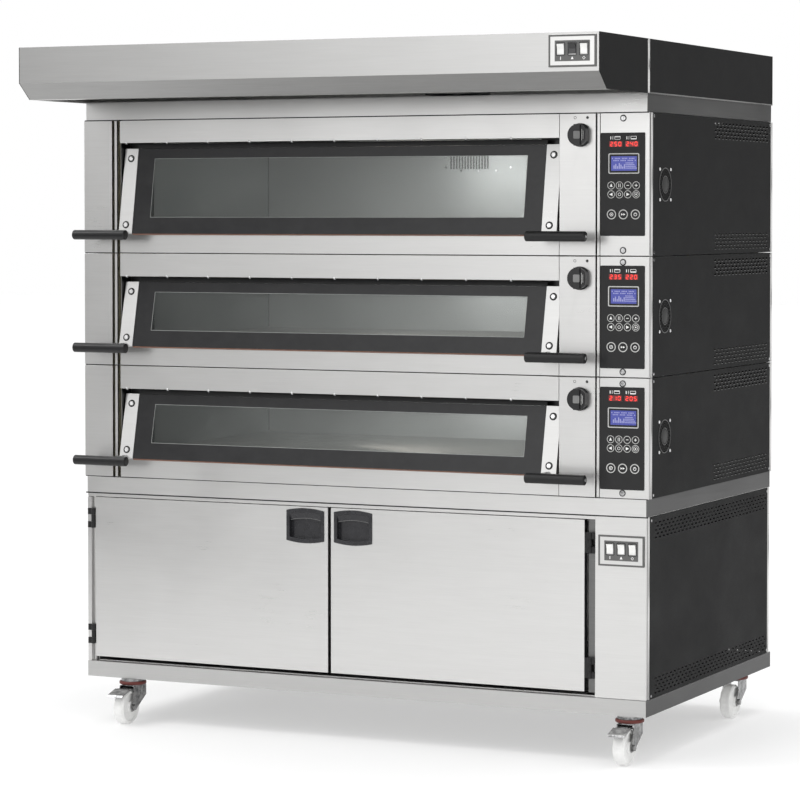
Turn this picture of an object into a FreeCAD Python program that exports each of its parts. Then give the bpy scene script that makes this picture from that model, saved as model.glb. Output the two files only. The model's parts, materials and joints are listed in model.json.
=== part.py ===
import FreeCAD
import Part

import math
import os

# Three-deck bakery oven with an extraction hood, on a cabinet stand with four castors.
# Axes: +X to the oven's right seen from the front, +Y to the back, +Z up, millimetres.
# The origin is on the floor, under the middle of the bounding box.

V = FreeCAD.Vector
X_AXIS = V(1, 0, 0)
Y_AXIS = V(0, 1, 0)
Z_AXIS = V(0, 0, 1)

# ---- driving dimensions -------------------------------------------------------------------------
WIDTH = 1770.0            # outside width over the decks
DECK_DEPTH = 1030.0       # deck front to deck back
HOOD_OVERHANG = 354.0     # hood front ahead of the deck front
BASE_DEPTH = 1042.0       # base frame, front to back
SHEET = 2.0               # sheet metal thickness
SEAM = 1.0                # half of the gap between neighbouring panels
SKIRT = 8.0               # folded edge of a front panel

BASE_BOTTOM = 130.0       # castor height
BASE_TOP = 175.0
CABINET_TOP = 672.0
STAND_TOP = 720.0
LOW_DECK_HEIGHT = 328.0   # decks with a 180 mm chamber
HIGH_DECK_HEIGHT = 388.0  # deck with a 240 mm chamber
TOP_BAND_HEIGHT = 50.0
HOOD_HEIGHT = 146.0
HOOD_FACE_HEIGHT = 101.0  # upright part of the hood front
HOOD_BEVEL_RUN = 54.0     # how far the sloping edge runs back
HOOD_LIP = 40.0
BAND_INSET = 7.0          # bands, cabinet and base stand back from the deck sides by this
HOOD_INSET = 3.0          # the same for the hood's ends
CASING_INSET = 22.0       # and for the sheets and the wool inside the casing

# front layout, as distances from the left side of the oven
PILLAR_WIDTH = 94.0
STRIP_START = 102.0
STRIP_WIDTH = 8.0
FASCIA_START = 121.0
OPENING_WIDTH = 1387.0
KNOB_COLUMN_WIDTH = 106.0
CONTROL_COLUMN_START = 1628.0
CONTROL_COLUMN_INSET = 0.6    # from the right side

# one deck, from its lower edge or its upper edge
BOTTOM_FASCIA = 56.0
TOP_FASCIA = 67.0
STONE_SURFACE = 88.0      # stone surface above the deck's lower edge
STONE_THICKNESS = 20.0
UNDER_STONE = 60.0        # liner floor under the stone surface
CEILING_ABOVE_OPENING = 7.0
CHAMBER_WIDTH = 1230.0
CHAMBER_FRONT = 62.0      # chamber mouth behind the front
CHAMBER_BACK = 770.0
ELEMENT_RADIUS = 4.0
ELEMENTS_PER_LAYER = 5
ELEMENT_START = 90.0      # first element behind the chamber mouth
ELEMENT_PITCH = 130.0
ELEMENT_DROP = 14.0       # upper layer under the ceiling
ELEMENT_UNDER_STONE = 40.0
OUTLET_SLOTS = 14         # in the tall chamber's back wall
OUTLET_SLOT_WIDTH = 4.6
OUTLET_SLOT_PITCH = 9.4
OUTLET_SLOT_HEIGHTS = (76.0, 36.0)    # below the ceiling
OUTLET_FROM_CENTRE = 14.0
DECK_PANEL_HEIGHT = 278.0
DECK_PANEL_WIDTH = 128.0
DECK_PANEL_PROUD = 2.0
WINDOW_DEPTH = 1.2        # sunken display windows of the control panel
KNOB_FROM_LEFT = 1570.0
KNOB_FROM_TOP = 60.0

# fascia rivets, and back wall screws from the chamber's middle and its ceiling
RIVETS = 10
RIVET_START = 21.0
RIVET_PITCH = 135.8
BACK_WALL_SCREWS = {
    "lower": (),
    "middle": ((50, -60), (108, -60), (167, -60)),
    "upper": ((0, -72), (50, -82), (108, -83), (167, -82), (215, -73)),
}

# tilted glass door
DOOR_WIDTH = 1380.0
ARM_WIDTH = 44.0
GLASS = 8.0
DOOR_TOP_GAP = 17.0
DOOR_TOP_SETBACK = 30.0   # glass face behind the front at its top edge
DOOR_FOOT_PROUD = 11.0    # glass face ahead of the front at its bottom edge
HINGE_DROP = 22.0         # pivot below the upper edge of the opening
HINGE_SETBACK = 42.0
HANDLE_LENGTH = 175.0
HANDLE_RADIUS = 14.0
HANDLE_PROUD = 78.0
HANDLE_FROM_CENTRE = 715.0
STUB_RADIUS = 6.0
STUB_RISE = 8.0           # stub above the handle's middle
ARM_FRONT = 3.0           # arm thickness in front of the glass
ARM_BACK = 1.8            # and behind it
GLASS_IN_ARM = 8.0        # how far the glass reaches into each arm
DOOR_PIN_RADIUS = 5.0

# side panels
SIDE_PANEL_FRONT = 30.0
SIDE_PANEL_BACK = 1011.0
SIDE_PANEL_INSET = 2.0    # behind the deck sides
POST_WIDTH = 20.0         # corner posts
POST_DEPTH = 15.0
POST_FROM_FRONT = 13.0
POST_FROM_BACK = 17.0
VENT_SLOT = (15.0, 4.5)
VENT_PITCH = (30.0, 10.0)
VENT_ROWS = 5
DECK_VENTS = (520.0, 993.0)       # first and last slot behind the front
CABINET_VENTS = (66.0, 998.0)

# cooling fans
FAN_FROM_FRONT = 124.0
FAN_HALF = 46.0
FAN_BORE = 44.0
FAN_DEPTH = 25.0
FAN_HUB = 19.0
FAN_PIN = 2.0
FAN_BLADES = 7
FAN_SCREWS = 41.25        # from the fan's middle, both ways
MOTOR_RADIUS = 18.0
MOTOR_LENGTH = 3.0
GRILLE_RINGS = ((28.0, 16), (35.0, 20), (42.0, 24))   # radius and number of holes
GRILLE_HOLE = 2.6

# steam outlets and the flue that joins them
FLUE_FROM_LEFT = 1625.0
FLUE_FROM_FRONT = 310.0
FLUE_WIDTH = 100.0
FLUE_FOOT = 60.0          # above the stand
FLUE_INTO_HOOD = 30.0
DUCT_HALF = 64.0          # half the depth of a duct box
DUCT_BELOW = 38.0         # from the valve's middle
DUCT_ABOVE = 30.0
VALVE_RADIUS = 26.0
VALVE_WALL = 2.4
VALVE_GAP = 0.6
SPINDLE_RADIUS = 4.0

# extractor outlet
SPIGOT_RADIUS = 75.0
SPIGOT_HEIGHT = 50.0
SPIGOT_FROM_FRONT = 700.0
EXTRACTOR_RADIUS = 100.0
EXTRACTOR_PIN = 5.0
EXTRACTOR_HUB = 14.0
EXTRACTOR_BLADES = 12

# rocker switches
SWITCH_FROM_RIGHT = 78.0
HOOD_SWITCH_DROP = 47.0   # below the hood's roof
CABINET_SWITCH_Z = 580.0
SWITCH_PLATE = (132.0, 83.0, 3.0)     # width, height and thickness
SWITCH_CUT = (92.0, 38.0)             # hole in the panel behind the plate
SWITCH_PROUD = 8.0        # rocker tip ahead of the panel that carries the plate
ROCKER = (19.0, 27.0)     # width and height
ROCKER_TILT = 8.0
ROCKER_RISE = 5.0         # rocker pivot above the plate's middle
ROCKER_SETBACK = 1.0      # rocker pivot behind the panel face
ROCKER_PIN = 2.0
ROCKER_GAP = 1.0
ROCKER_HOUSING = (25.0, 34.0, 20.0)   # width, height and depth of the box behind each rocker
SWITCH_PITCH = 32.5

# cabinet doors, their hinges and pulls
DOOR_GAP_X = -79.5        # middle of the gap between the two doors
DOOR_GAP = 9.5
LEFT_DOOR_START = 35.0    # from the left side of the oven
RIGHT_DOOR_END = 186.0    # from the right side
CABINET_DOOR_Z = (190.0, 659.0)
CABINET_DOOR_DEPTH = 18.0
COLUMN_WIDTH = 155.0      # service column, from the right side of the oven
HINGE_HEIGHTS = (255.0, 597.0)
BARREL = 6.0
HINGE_PIN = 2.5
LEAF_HALF = 28.0
KNUCKLE = 18.0
MIDDLE_KNUCKLE = 19.4
PULL_SIZE = (120.0, 86.0)
PULL_Z = 605.0
LEFT_PULL_X = -156.0
RIGHT_PULL_X = -4.5

# castors
WHEEL_RADIUS = 50.0
WHEEL_WIDTH = 34.0
TRAIL = 38.0
CASTOR_LEFT = 148.0       # swivel axis from the left side of the oven
CASTOR_RIGHT = 61.0       # swivel axis from the right side
CASTOR_FRONT = 20.0       # swivel axis behind the front
CASTOR_BACK = 876.0
KINGPIN = 6.0
AXLE = 5.0
FORK_INSIDE = 22.0
LEG = 3.0
FORK_TOP = 113.0
RACE_RADIUS = 30.0
HEAD_RADIUS = 34.0
HEAD_THICKNESS = 8.0
AXLE_NUT = (8.5, 6.0)     # radius and thickness
PEDAL_PIVOT = (-12.0, 101.0)          # from the swivel axis along Y, and above the floor
PEDAL_PIN = 3.0
RAIL = 40.0               # front rail's foot
BEARER_HALF = 45.0
BEARER_SHEET = 3.0

# running fits
PIN_CLEARANCE = 0.05

# ---- derived positions --------------------------------------------------------------------------
LEFT = -WIDTH / 2
RIGHT = WIDTH / 2
FRONT = -(BASE_DEPTH + HOOD_OVERHANG + SWITCH_PROUD) / 2 + HOOD_OVERHANG + SWITCH_PROUD
BACK = FRONT + DECK_DEPTH
OPENING_LEFT = LEFT + FASCIA_START
OPENING_RIGHT = OPENING_LEFT + OPENING_WIDTH
DOOR_CENTRE = (OPENING_LEFT + OPENING_RIGHT) / 2
KNOB_COLUMN_RIGHT = OPENING_RIGHT + KNOB_COLUMN_WIDTH
CONTROL_LEFT = LEFT + CONTROL_COLUMN_START
CONTROL_RIGHT = RIGHT - CONTROL_COLUMN_INSET
KNOB_X = LEFT + KNOB_FROM_LEFT
TOP_BAND_BOTTOM = STAND_TOP + 2 * LOW_DECK_HEIGHT + HIGH_DECK_HEIGHT
HOOD_BOTTOM = TOP_BAND_BOTTOM + TOP_BAND_HEIGHT
HOOD_TOP = HOOD_BOTTOM + HOOD_HEIGHT
HOOD_FRONT = FRONT - HOOD_OVERHANG
HOOD_X = RIGHT - HOOD_INSET
SIDE_FACE = RIGHT - SIDE_PANEL_INSET
DECKS = (
    ("lower", STAND_TOP, LOW_DECK_HEIGHT),
    ("middle", STAND_TOP + LOW_DECK_HEIGHT, LOW_DECK_HEIGHT),
    ("upper", STAND_TOP + 2 * LOW_DECK_HEIGHT, HIGH_DECK_HEIGHT),
)
CHAMBER_LEFT = DOOR_CENTRE - CHAMBER_WIDTH / 2
CHAMBER_RIGHT = DOOR_CENTRE + CHAMBER_WIDTH / 2
MOUTH_Y = FRONT + CHAMBER_FRONT
BACK_WALL_Y = FRONT + CHAMBER_BACK
FLUE_LEFT = LEFT + FLUE_FROM_LEFT
FLUE_RIGHT = FLUE_LEFT + FLUE_WIDTH
FLUE_FRONT = FRONT + FLUE_FROM_FRONT
FLUE_BACK = FLUE_FRONT + FLUE_WIDTH
FLUE_Y = (FLUE_FRONT + FLUE_BACK) / 2
BAY_LEFT = OPENING_RIGHT + 10.0       # service bay beside the chambers
SWITCH_X = RIGHT - SWITCH_FROM_RIGHT
HOOD_SWITCH_Z = HOOD_TOP - HOOD_SWITCH_DROP
LEFT_DOOR = (LEFT + LEFT_DOOR_START, DOOR_GAP_X - DOOR_GAP / 2)
RIGHT_DOOR = (DOOR_GAP_X + DOOR_GAP / 2, RIGHT - RIGHT_DOOR_END)
COLUMN_LEFT = RIGHT - COLUMN_WIDTH
LEFT_HINGE_X = LEFT + 27.0
RIGHT_HINGE_X = RIGHT - 170.0
HINGE_Y = FRONT - 1.0
CASTORS = (
    ("front_left", LEFT + CASTOR_LEFT, FRONT + CASTOR_FRONT),
    ("front_right", RIGHT - CASTOR_RIGHT, FRONT + CASTOR_FRONT),
    ("rear_left", LEFT + CASTOR_LEFT, FRONT + CASTOR_BACK),
    ("rear_right", RIGHT - CASTOR_RIGHT, FRONT + CASTOR_BACK),
)


# ---- building blocks ----------------------------------------------------------------------------
def box(x0, x1, y0, y1, z0, z1):
    return Part.makeBox(x1 - x0, y1 - y0, z1 - z0, V(x0, y0, z0))


def rod(centre, axis, radius, length):
    """Cylinder centred on a point."""
    direction = V(axis)
    start = centre - direction * (length / 2)
    return Part.makeCylinder(radius, length, start, direction)


def tube(centre, axis, outer, inner, length):
    return rod(centre, axis, outer, length).cut(rod(centre, axis, inner, length + 2))


def prism(points, x0, x1):
    """Closed outline of (y, z) points swept along X."""
    corners = [V(x0, y, z) for y, z in points]
    return Part.Face(Part.makePolygon(corners + corners[:1])).extrude(V(x1 - x0, 0, 0))


def front_pan(x0, x1, z0, z1, y0=None, skirt=SKIRT):
    """Sheet panel that faces the front, with its four edges folded back."""
    y0 = FRONT if y0 is None else y0
    block = box(x0, x1, y0, y0 + skirt, z0, z1)
    hollow = box(x0 + SHEET, x1 - SHEET, y0 + SHEET, y0 + skirt + 1, z0 + SHEET, z1 - SHEET)
    return block.cut(hollow)


def slot_wire(x, y, z, width, height):
    """Round-ended slot outline in the YZ plane, long along Y."""
    r = height / 2
    half = width / 2 - r
    low_a, low_b = V(x, y - half, z - r), V(x, y + half, z - r)
    high_a, high_b = V(x, y - half, z + r), V(x, y + half, z + r)
    edges = [
        Part.LineSegment(low_a, low_b).toShape(),
        Part.Arc(low_b, V(x, y + half + r, z), high_b).toShape(),
        Part.LineSegment(high_b, high_a).toShape(),
        Part.Arc(high_a, V(x, y - half - r, z), low_a).toShape(),
    ]
    return Part.Wire(edges)


def round_wire(x, y, z, radius):
    return Part.Wire(Part.makeCircle(radius, V(x, y, z), X_AXIS))


def rect_wire_yz(x, y0, y1, z0, z1):
    return Part.makePolygon([V(x, y0, z0), V(x, y1, z0), V(x, y1, z1), V(x, y0, z1), V(x, y0, z0)])


def side_sheet(x0, x1, outline, holes):
    """Sheet in the YZ plane with punched holes, given as wires at x0."""
    punched = Part.Face(outline)
    if holes:
        punched = punched.cut([Part.Face(hole) for hole in holes]).Faces[0]
    return punched.extrude(V(x1 - x0, 0, 0))


def vent_rows(x, y0, y1, z_mid):
    """Staggered rows of slots between y0 and y1, centred on one height."""
    pitch_y, pitch_z = VENT_PITCH
    wires = []
    for row in range(VENT_ROWS):
        z = z_mid + (row - (VENT_ROWS - 1) / 2) * pitch_z
        y = y0 + VENT_SLOT[0] / 2 + (pitch_y / 2 if row % 2 else 0)
        while y + VENT_SLOT[0] / 2 <= y1:
            wires.append(slot_wire(x, y, z, *VENT_SLOT))
            y += pitch_y
    return wires


def fan_grille(x, y, z):
    """Three rings of round holes round a closed middle disc."""
    wires = []
    for ring, count in GRILLE_RINGS:
        for step in range(count):
            turn = 2 * math.pi * (step + 0.5 * (count % 3)) / count
            hole_y, hole_z = y + ring * math.cos(turn), z + ring * math.sin(turn)
            wires.append(round_wire(x, hole_y, hole_z, GRILLE_HOLE))
    return wires


def dome_head(centre, axis, radius, height):
    """Low round screw head standing on a surface at centre, pointing along axis."""
    head = Part.makeCylinder(radius, height, centre, axis)
    top_edges = [e for e in head.Edges if abs((e.CenterOfMass - centre).dot(axis) - height) < 0.01]
    return head.makeFillet(height * 0.6, top_edges)


def screw_head(centre, axis, radius, height, slot_along):
    """Round head with a straight slot."""
    head = dome_head(centre, axis, radius, height)
    slot = Part.makeBox(2 * radius, 1.2, 2.0, V(-radius, -0.6, -2.0))
    turn = FreeCAD.Rotation(V(0, 0, 1), axis)
    across = turn.multVec(X_AXIS)
    twist = FreeCAD.Rotation(axis, math.degrees(across.getAngle(slot_along)))
    slot.Placement = FreeCAD.Placement(centre + axis * (height + 1.0), twist.multiply(turn))
    return head.cut(slot)


def corner_posts(outer_x, z0, z1):
    """Four upright corner posts of one casing, whose sides are at plus and minus outer_x."""
    posts = []
    for x in (-outer_x, outer_x - POST_WIDTH):
        for y in (FRONT + POST_FROM_FRONT, BACK - POST_FROM_BACK):
            posts.append(box(x, x + POST_WIDTH, y, y + POST_DEPTH, z0 + SEAM, z1 - SEAM))
    return posts


def save(name, solids):
    solids = list(solids)
    shape = solids[0] if len(solids) == 1 else Part.makeCompound(solids)
    for solid in solids:
        if not solid.isValid() or solid.Volume <= 0:
            raise ValueError(name + " has a bad solid")
    shape.exportStep("parts/" + name + ".step")


def opening_heights(z0, height):
    """Lower edge, upper edge of the front opening, stone surface and chamber ceiling."""
    low = z0 + BOTTOM_FASCIA
    high = z0 + height - TOP_FASCIA
    return low, high, z0 + STONE_SURFACE, high + CEILING_ABOVE_OPENING


# ---- decks --------------------------------------------------------------------------------------
def front_panels(z0, height):
    """Pillar cover, edge strip, two fascias, knob and control columns, and the opening's reveals."""
    low, high, _, _ = opening_heights(z0, height)
    z_a, z_b = z0 + SEAM, z0 + height - SEAM
    hinge_z = high - HINGE_DROP
    hinge_y = FRONT + HINGE_SETBACK
    spindle = rod(V(KNOB_X, FRONT, z0 + height - KNOB_FROM_TOP), Y_AXIS, SPINDLE_RADIUS + 0.6, 60)
    pin_radius = DOOR_PIN_RADIUS + PIN_CLEARANCE
    pin_hole = rod(V(DOOR_CENTRE, hinge_y, hinge_z), X_AXIS, pin_radius, 2 * OPENING_WIDTH)
    reveal_back = MOUTH_Y
    left_reveal = box(OPENING_LEFT - SHEET, OPENING_LEFT, FRONT + SKIRT, reveal_back, low, high)
    right_reveal = box(OPENING_RIGHT, OPENING_RIGHT + SHEET, FRONT + SKIRT, reveal_back, low, high)
    return [
        front_pan(LEFT, LEFT + PILLAR_WIDTH, z_a, z_b),
        front_pan(LEFT + STRIP_START, LEFT + STRIP_START + STRIP_WIDTH, z_a, z_b, FRONT + 1),
        front_pan(OPENING_LEFT, OPENING_RIGHT - SEAM, high, z_b),
        front_pan(OPENING_LEFT, OPENING_RIGHT - SEAM, z_a, low),
        front_pan(OPENING_RIGHT, KNOB_COLUMN_RIGHT, z_a, z_b).cut(spindle),
        front_pan(CONTROL_LEFT, CONTROL_RIGHT, z_a, z_b),
        left_reveal.cut(pin_hole),
        right_reveal.cut(pin_hole),
        box(OPENING_LEFT, OPENING_RIGHT, FRONT + SKIRT, reveal_back, high, high + SHEET),
        box(OPENING_LEFT, OPENING_RIGHT, FRONT + SKIRT, reveal_back, low - SHEET, low),
    ]


def chamber_liner(name, z0, height):
    """Liner plates and mouth frame plates. The tall deck has a slotted outlet in its back wall."""
    low, high, stone, ceiling = opening_heights(z0, height)
    floor = stone - UNDER_STONE
    valve_z = z0 + height - KNOB_FROM_TOP
    back_wall = box(CHAMBER_LEFT, CHAMBER_RIGHT, BACK_WALL_Y, BACK_WALL_Y + SHEET, floor, ceiling)
    if name == "upper":
        slot_y = (BACK_WALL_Y - 1, BACK_WALL_Y + SHEET + 1)
        slot_z = [ceiling - drop for drop in OUTLET_SLOT_HEIGHTS]
        slots = []
        for step in range(OUTLET_SLOTS):
            x = DOOR_CENTRE + OUTLET_FROM_CENTRE + step * OUTLET_SLOT_PITCH
            slots.append(box(x, x + OUTLET_SLOT_WIDTH, *slot_y, *slot_z))
        back_wall = back_wall.cut(slots)
    outlet_y = (FLUE_Y - DUCT_HALF + 4, FLUE_Y + DUCT_HALF - 4)
    outlet_z = (valve_z - DUCT_BELOW + 4, ceiling - 6)
    steam_outlet = box(CHAMBER_RIGHT - 1, CHAMBER_RIGHT + SHEET + 1, *outlet_y, *outlet_z)
    depth = (MOUTH_Y, BACK_WALL_Y + SHEET)
    right_wall = box(CHAMBER_RIGHT, CHAMBER_RIGHT + SHEET, *depth, floor, ceiling)
    return [
        box(CHAMBER_LEFT - SHEET, CHAMBER_LEFT, *depth, floor, ceiling),
        right_wall.cut(steam_outlet),
        back_wall,
        box(CHAMBER_LEFT - SHEET, CHAMBER_RIGHT + SHEET, *depth, ceiling, ceiling + SHEET),
        box(CHAMBER_LEFT - SHEET, CHAMBER_RIGHT + SHEET, *depth, floor - SHEET, floor),
        box(OPENING_LEFT, CHAMBER_LEFT - SHEET, MOUTH_Y, MOUTH_Y + SHEET, low, high),
        box(CHAMBER_RIGHT + SHEET, OPENING_RIGHT, MOUTH_Y, MOUTH_Y + SHEET, low, high),
        box(CHAMBER_LEFT, CHAMBER_RIGHT, MOUTH_Y, MOUTH_Y + SHEET, floor, stone),
    ]


def baking_stones(z0, height):
    """Two slabs with the ledges under their front and back edges."""
    _, _, stone, _ = opening_heights(z0, height)
    front_y = MOUTH_Y + SHEET
    slab_size = (front_y, BACK_WALL_Y - 2, stone - STONE_THICKNESS, stone)
    slabs = [
        box(CHAMBER_LEFT + 2, DOOR_CENTRE - 0.5, *slab_size),
        box(DOOR_CENTRE + 0.5, CHAMBER_RIGHT - 2, *slab_size),
    ]
    ledges = [
        box(CHAMBER_LEFT, CHAMBER_RIGHT, y, y + 20, stone - UNDER_STONE, stone - STONE_THICKNESS)
        for y in (front_y, BACK_WALL_Y - 20)
    ]
    return slabs + ledges


def heating_rods(z0, height):
    """A layer of straight rods under the ceiling and one under the stone, wall to wall."""
    _, _, stone, ceiling = opening_heights(z0, height)
    rods = []
    for z in (ceiling - ELEMENT_DROP, stone - ELEMENT_UNDER_STONE):
        for step in range(ELEMENTS_PER_LAYER):
            y = MOUTH_Y + ELEMENT_START + step * ELEMENT_PITCH
            rods.append(rod(V(DOOR_CENTRE, y, z), X_AXIS, ELEMENT_RADIUS, CHAMBER_WIDTH))
    return rods


def insulation(z0, height):
    """Mineral wool under, over, beside and behind the liner."""
    _, _, stone, ceiling = opening_heights(z0, height)
    floor = stone - UNDER_STONE - SHEET
    y0, y1 = MOUTH_Y + 4, BACK - 4
    x0, x1 = LEFT + CASING_INSET, OPENING_RIGHT - 2
    valve_z = z0 + height - KNOB_FROM_TOP
    duct_y = (FLUE_Y - DUCT_HALF - 2, FLUE_Y + DUCT_HALF + 2)
    duct_z = (valve_z - DUCT_BELOW - 2, valve_z + DUCT_ABOVE + 2)
    steam_space = box(CHAMBER_RIGHT, x1 + 1, *duct_y, *duct_z)
    right_block = box(CHAMBER_RIGHT + SHEET, x1, y0, BACK_WALL_Y + SHEET, floor, ceiling + SHEET)
    return [
        box(x0, x1, y0, y1, z0 + SHEET, floor),
        box(x0, x1, y0, y1, ceiling + SHEET, z0 + height).cut(steam_space),
        box(x0, CHAMBER_LEFT - SHEET, y0, BACK_WALL_Y + SHEET, floor, ceiling + SHEET),
        right_block.cut(steam_space),
        box(x0, x1, BACK_WALL_Y + SHEET, y1, floor, ceiling + SHEET),
    ]


def steam_duct(z0, height):
    """Box on the liner's right wall and the round valve tube that joins it to the flue."""
    _, _, _, ceiling = opening_heights(z0, height)
    valve_z = z0 + height - KNOB_FROM_TOP
    x0, x1 = CHAMBER_RIGHT + SHEET, OPENING_RIGHT + 4
    y0, y1 = FLUE_Y - DUCT_HALF, FLUE_Y + DUCT_HALF
    z_a, z_b = valve_z - DUCT_BELOW, valve_z + DUCT_ABOVE
    shell = box(x0, x1, y0, y1, z_a, z_b)
    inside = box(x0 + SHEET, x1 - SHEET, y0 + SHEET, y1 - SHEET, z_a + SHEET, z_b - SHEET)
    inlet = box(x0 - 1, x0 + SHEET + 1, y0 + 4, y1 - 4, z_a + 4, ceiling - 6)
    tube_mid = V((x1 + FLUE_LEFT) / 2, FLUE_Y, valve_z)
    bore_radius = VALVE_RADIUS + VALVE_GAP
    bore = rod(tube_mid, X_AXIS, bore_radius, FLUE_LEFT - x1 + 20)
    spindle_hole = rod(V(KNOB_X, FLUE_Y - 30, valve_z), Y_AXIS, SPINDLE_RADIUS + VALVE_GAP, 30)
    valve_tube = tube(tube_mid, X_AXIS, bore_radius + VALVE_WALL, bore_radius, FLUE_LEFT - x1)
    return [shell.cut(inside).cut(inlet).cut(bore), valve_tube.cut(spindle_hole)]


def flue():
    """Upright square flue from the lowest deck to the hood, with one side hole for each valve tube."""
    z0, z1 = STAND_TOP + FLUE_FOOT, HOOD_BOTTOM + FLUE_INTO_HOOD
    outer = box(FLUE_LEFT, FLUE_RIGHT, FLUE_FRONT, FLUE_BACK, z0, z1)
    inside_x = (FLUE_LEFT + SHEET, FLUE_RIGHT - SHEET)
    inside_y = (FLUE_FRONT + SHEET, FLUE_BACK - SHEET)
    shaft = outer.cut(box(*inside_x, *inside_y, z0 + SHEET, z1 + 1))
    for _, deck_z, deck_height in DECKS:
        valve_z = deck_z + deck_height - KNOB_FROM_TOP
        shaft = shaft.cut(rod(V(FLUE_LEFT, FLUE_Y, valve_z), X_AXIS, VALVE_RADIUS + VALVE_GAP, 10))
    return shaft


def vent_knob(z0, height):
    """Knob with a flat side and a raised grip, its spindle and the round flap in the valve tube."""
    z = z0 + height - KNOB_FROM_TOP
    skirt = rod(V(KNOB_X, FRONT - 3.5, z), Y_AXIS, 32.0, 5.0)
    body = rod(V(KNOB_X, FRONT - 15, z), Y_AXIS, 29.0, 18.0)
    grip = box(KNOB_X - 9, KNOB_X + 9, FRONT - 29, FRONT - 8, z - 29, z + 29)
    flat = box(KNOB_X + 24, KNOB_X + 40, FRONT - 40, FRONT, z - 40, z + 40)
    knob = skirt.fuse([body, grip]).cut(flat)
    spindle_end = FLUE_Y + VALVE_RADIUS - 2
    spindle_mid = V(KNOB_X, (FRONT - 1 + spindle_end) / 2, z)
    spindle = rod(spindle_mid, Y_AXIS, SPINDLE_RADIUS, spindle_end - FRONT + 1)
    flap = rod(V(KNOB_X, FLUE_Y, z), X_AXIS, VALVE_RADIUS, 1.6).fuse(spindle)
    return [knob.removeSplitter(), flap.removeSplitter()]


def control_panel(z0, height):
    """Black front plate of the control column with a sunken window for the displays."""
    mid = z0 + height / 2
    x0 = CONTROL_LEFT + SEAM
    top = mid + DECK_PANEL_HEIGHT / 2
    face = FRONT - DECK_PANEL_PROUD
    plate = box(x0, x0 + DECK_PANEL_WIDTH, face, FRONT, mid - DECK_PANEL_HEIGHT / 2, top)
    corners = [e for e in plate.Edges if abs(e.CenterOfMass.y - (face + FRONT) / 2) < 0.1]
    plate = plate.makeFillet(3.0, corners)
    sunk = (face - 1, FRONT - WINDOW_DEPTH)
    number_window = box(x0 + 25, x0 + 111, *sunk, top - 39, top - 22)
    picture_window = box(x0 + 30, x0 + 105, *sunk, top - 103, top - 63)
    return plate.cut([number_window, picture_window])


def fan_frame(z0, height):
    """Square fan frame behind the side panel, with a motor disc on four spokes and a bearing pin."""
    y, z = FRONT + FAN_FROM_FRONT, z0 + height / 2
    outer = SIDE_FACE - SHEET
    back = outer - FAN_DEPTH
    frame = box(back, outer, y - FAN_HALF, y + FAN_HALF, z - FAN_HALF, z + FAN_HALF)
    frame = frame.cut(rod(V(outer, y, z), X_AXIS, FAN_BORE, 60))
    motor = Part.makeCylinder(MOTOR_RADIUS, MOTOR_LENGTH, V(back, y, z), X_AXIS)
    spokes = [
        box(back, back + MOTOR_LENGTH, y - FAN_HALF, y + FAN_HALF, z - 2.5, z + 2.5),
        box(back, back + MOTOR_LENGTH, y - 2.5, y + 2.5, z - FAN_HALF, z + FAN_HALF),
    ]
    pin = Part.makeCylinder(FAN_PIN, 16, V(back + 2, y, z), X_AXIS)
    return frame.fuse([motor, pin] + spokes).removeSplitter()


def fan_rotor(z0, height):
    """Hub with angled blades."""
    y, z = FRONT + FAN_FROM_FRONT, z0 + height / 2
    back = SIDE_FACE - SHEET - FAN_DEPTH
    hub = Part.makeCylinder(FAN_HUB, 17, V(back + 4, y, z), X_AXIS)
    blades = []
    for step in range(FAN_BLADES):
        blade = Part.makeBox(1.6, 24, 20, V(-0.8, FAN_HUB - 1.5, -10))
        blade.rotate(V(0, 0, 0), Y_AXIS, 55)
        blade.rotate(V(0, 0, 0), X_AXIS, step * 360.0 / FAN_BLADES)
        blade.translate(V(back + FAN_DEPTH / 2, y, z))
        blades.append(blade)
    bore = Part.makeCylinder(FAN_PIN + PIN_CLEARANCE, 15, V(back + 3, y, z), X_AXIS)
    return hub.fuse(blades).cut(bore).removeSplitter()


# ---- deck doors ---------------------------------------------------------------------------------
def door_frame_of_reference(z0, height):
    """Placement that leans an upright door back, its length and the height of its foot."""
    low, high, _, _ = opening_heights(z0, height)
    foot_z = low + 1
    rise = high - DOOR_TOP_GAP - foot_z
    lean = DOOR_TOP_SETBACK + DOOR_FOOT_PROUD
    tilt = math.degrees(math.atan2(lean, rise))
    foot = V(DOOR_CENTRE, FRONT - DOOR_FOOT_PROUD, foot_z)
    return FreeCAD.Placement(foot, FreeCAD.Rotation(X_AXIS, -tilt)), math.hypot(lean, rise)


def placed(shape, placement):
    moved = shape.copy()
    moved.Placement = placement.multiply(moved.Placement)
    return moved


def door_glass(z0, height):
    placement, length = door_frame_of_reference(z0, height)
    half = DOOR_WIDTH / 2 - ARM_WIDTH + GLASS_IN_ARM
    pane = box(-half, half, 0, GLASS, 0, length)
    return placed(pane, placement)


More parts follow.
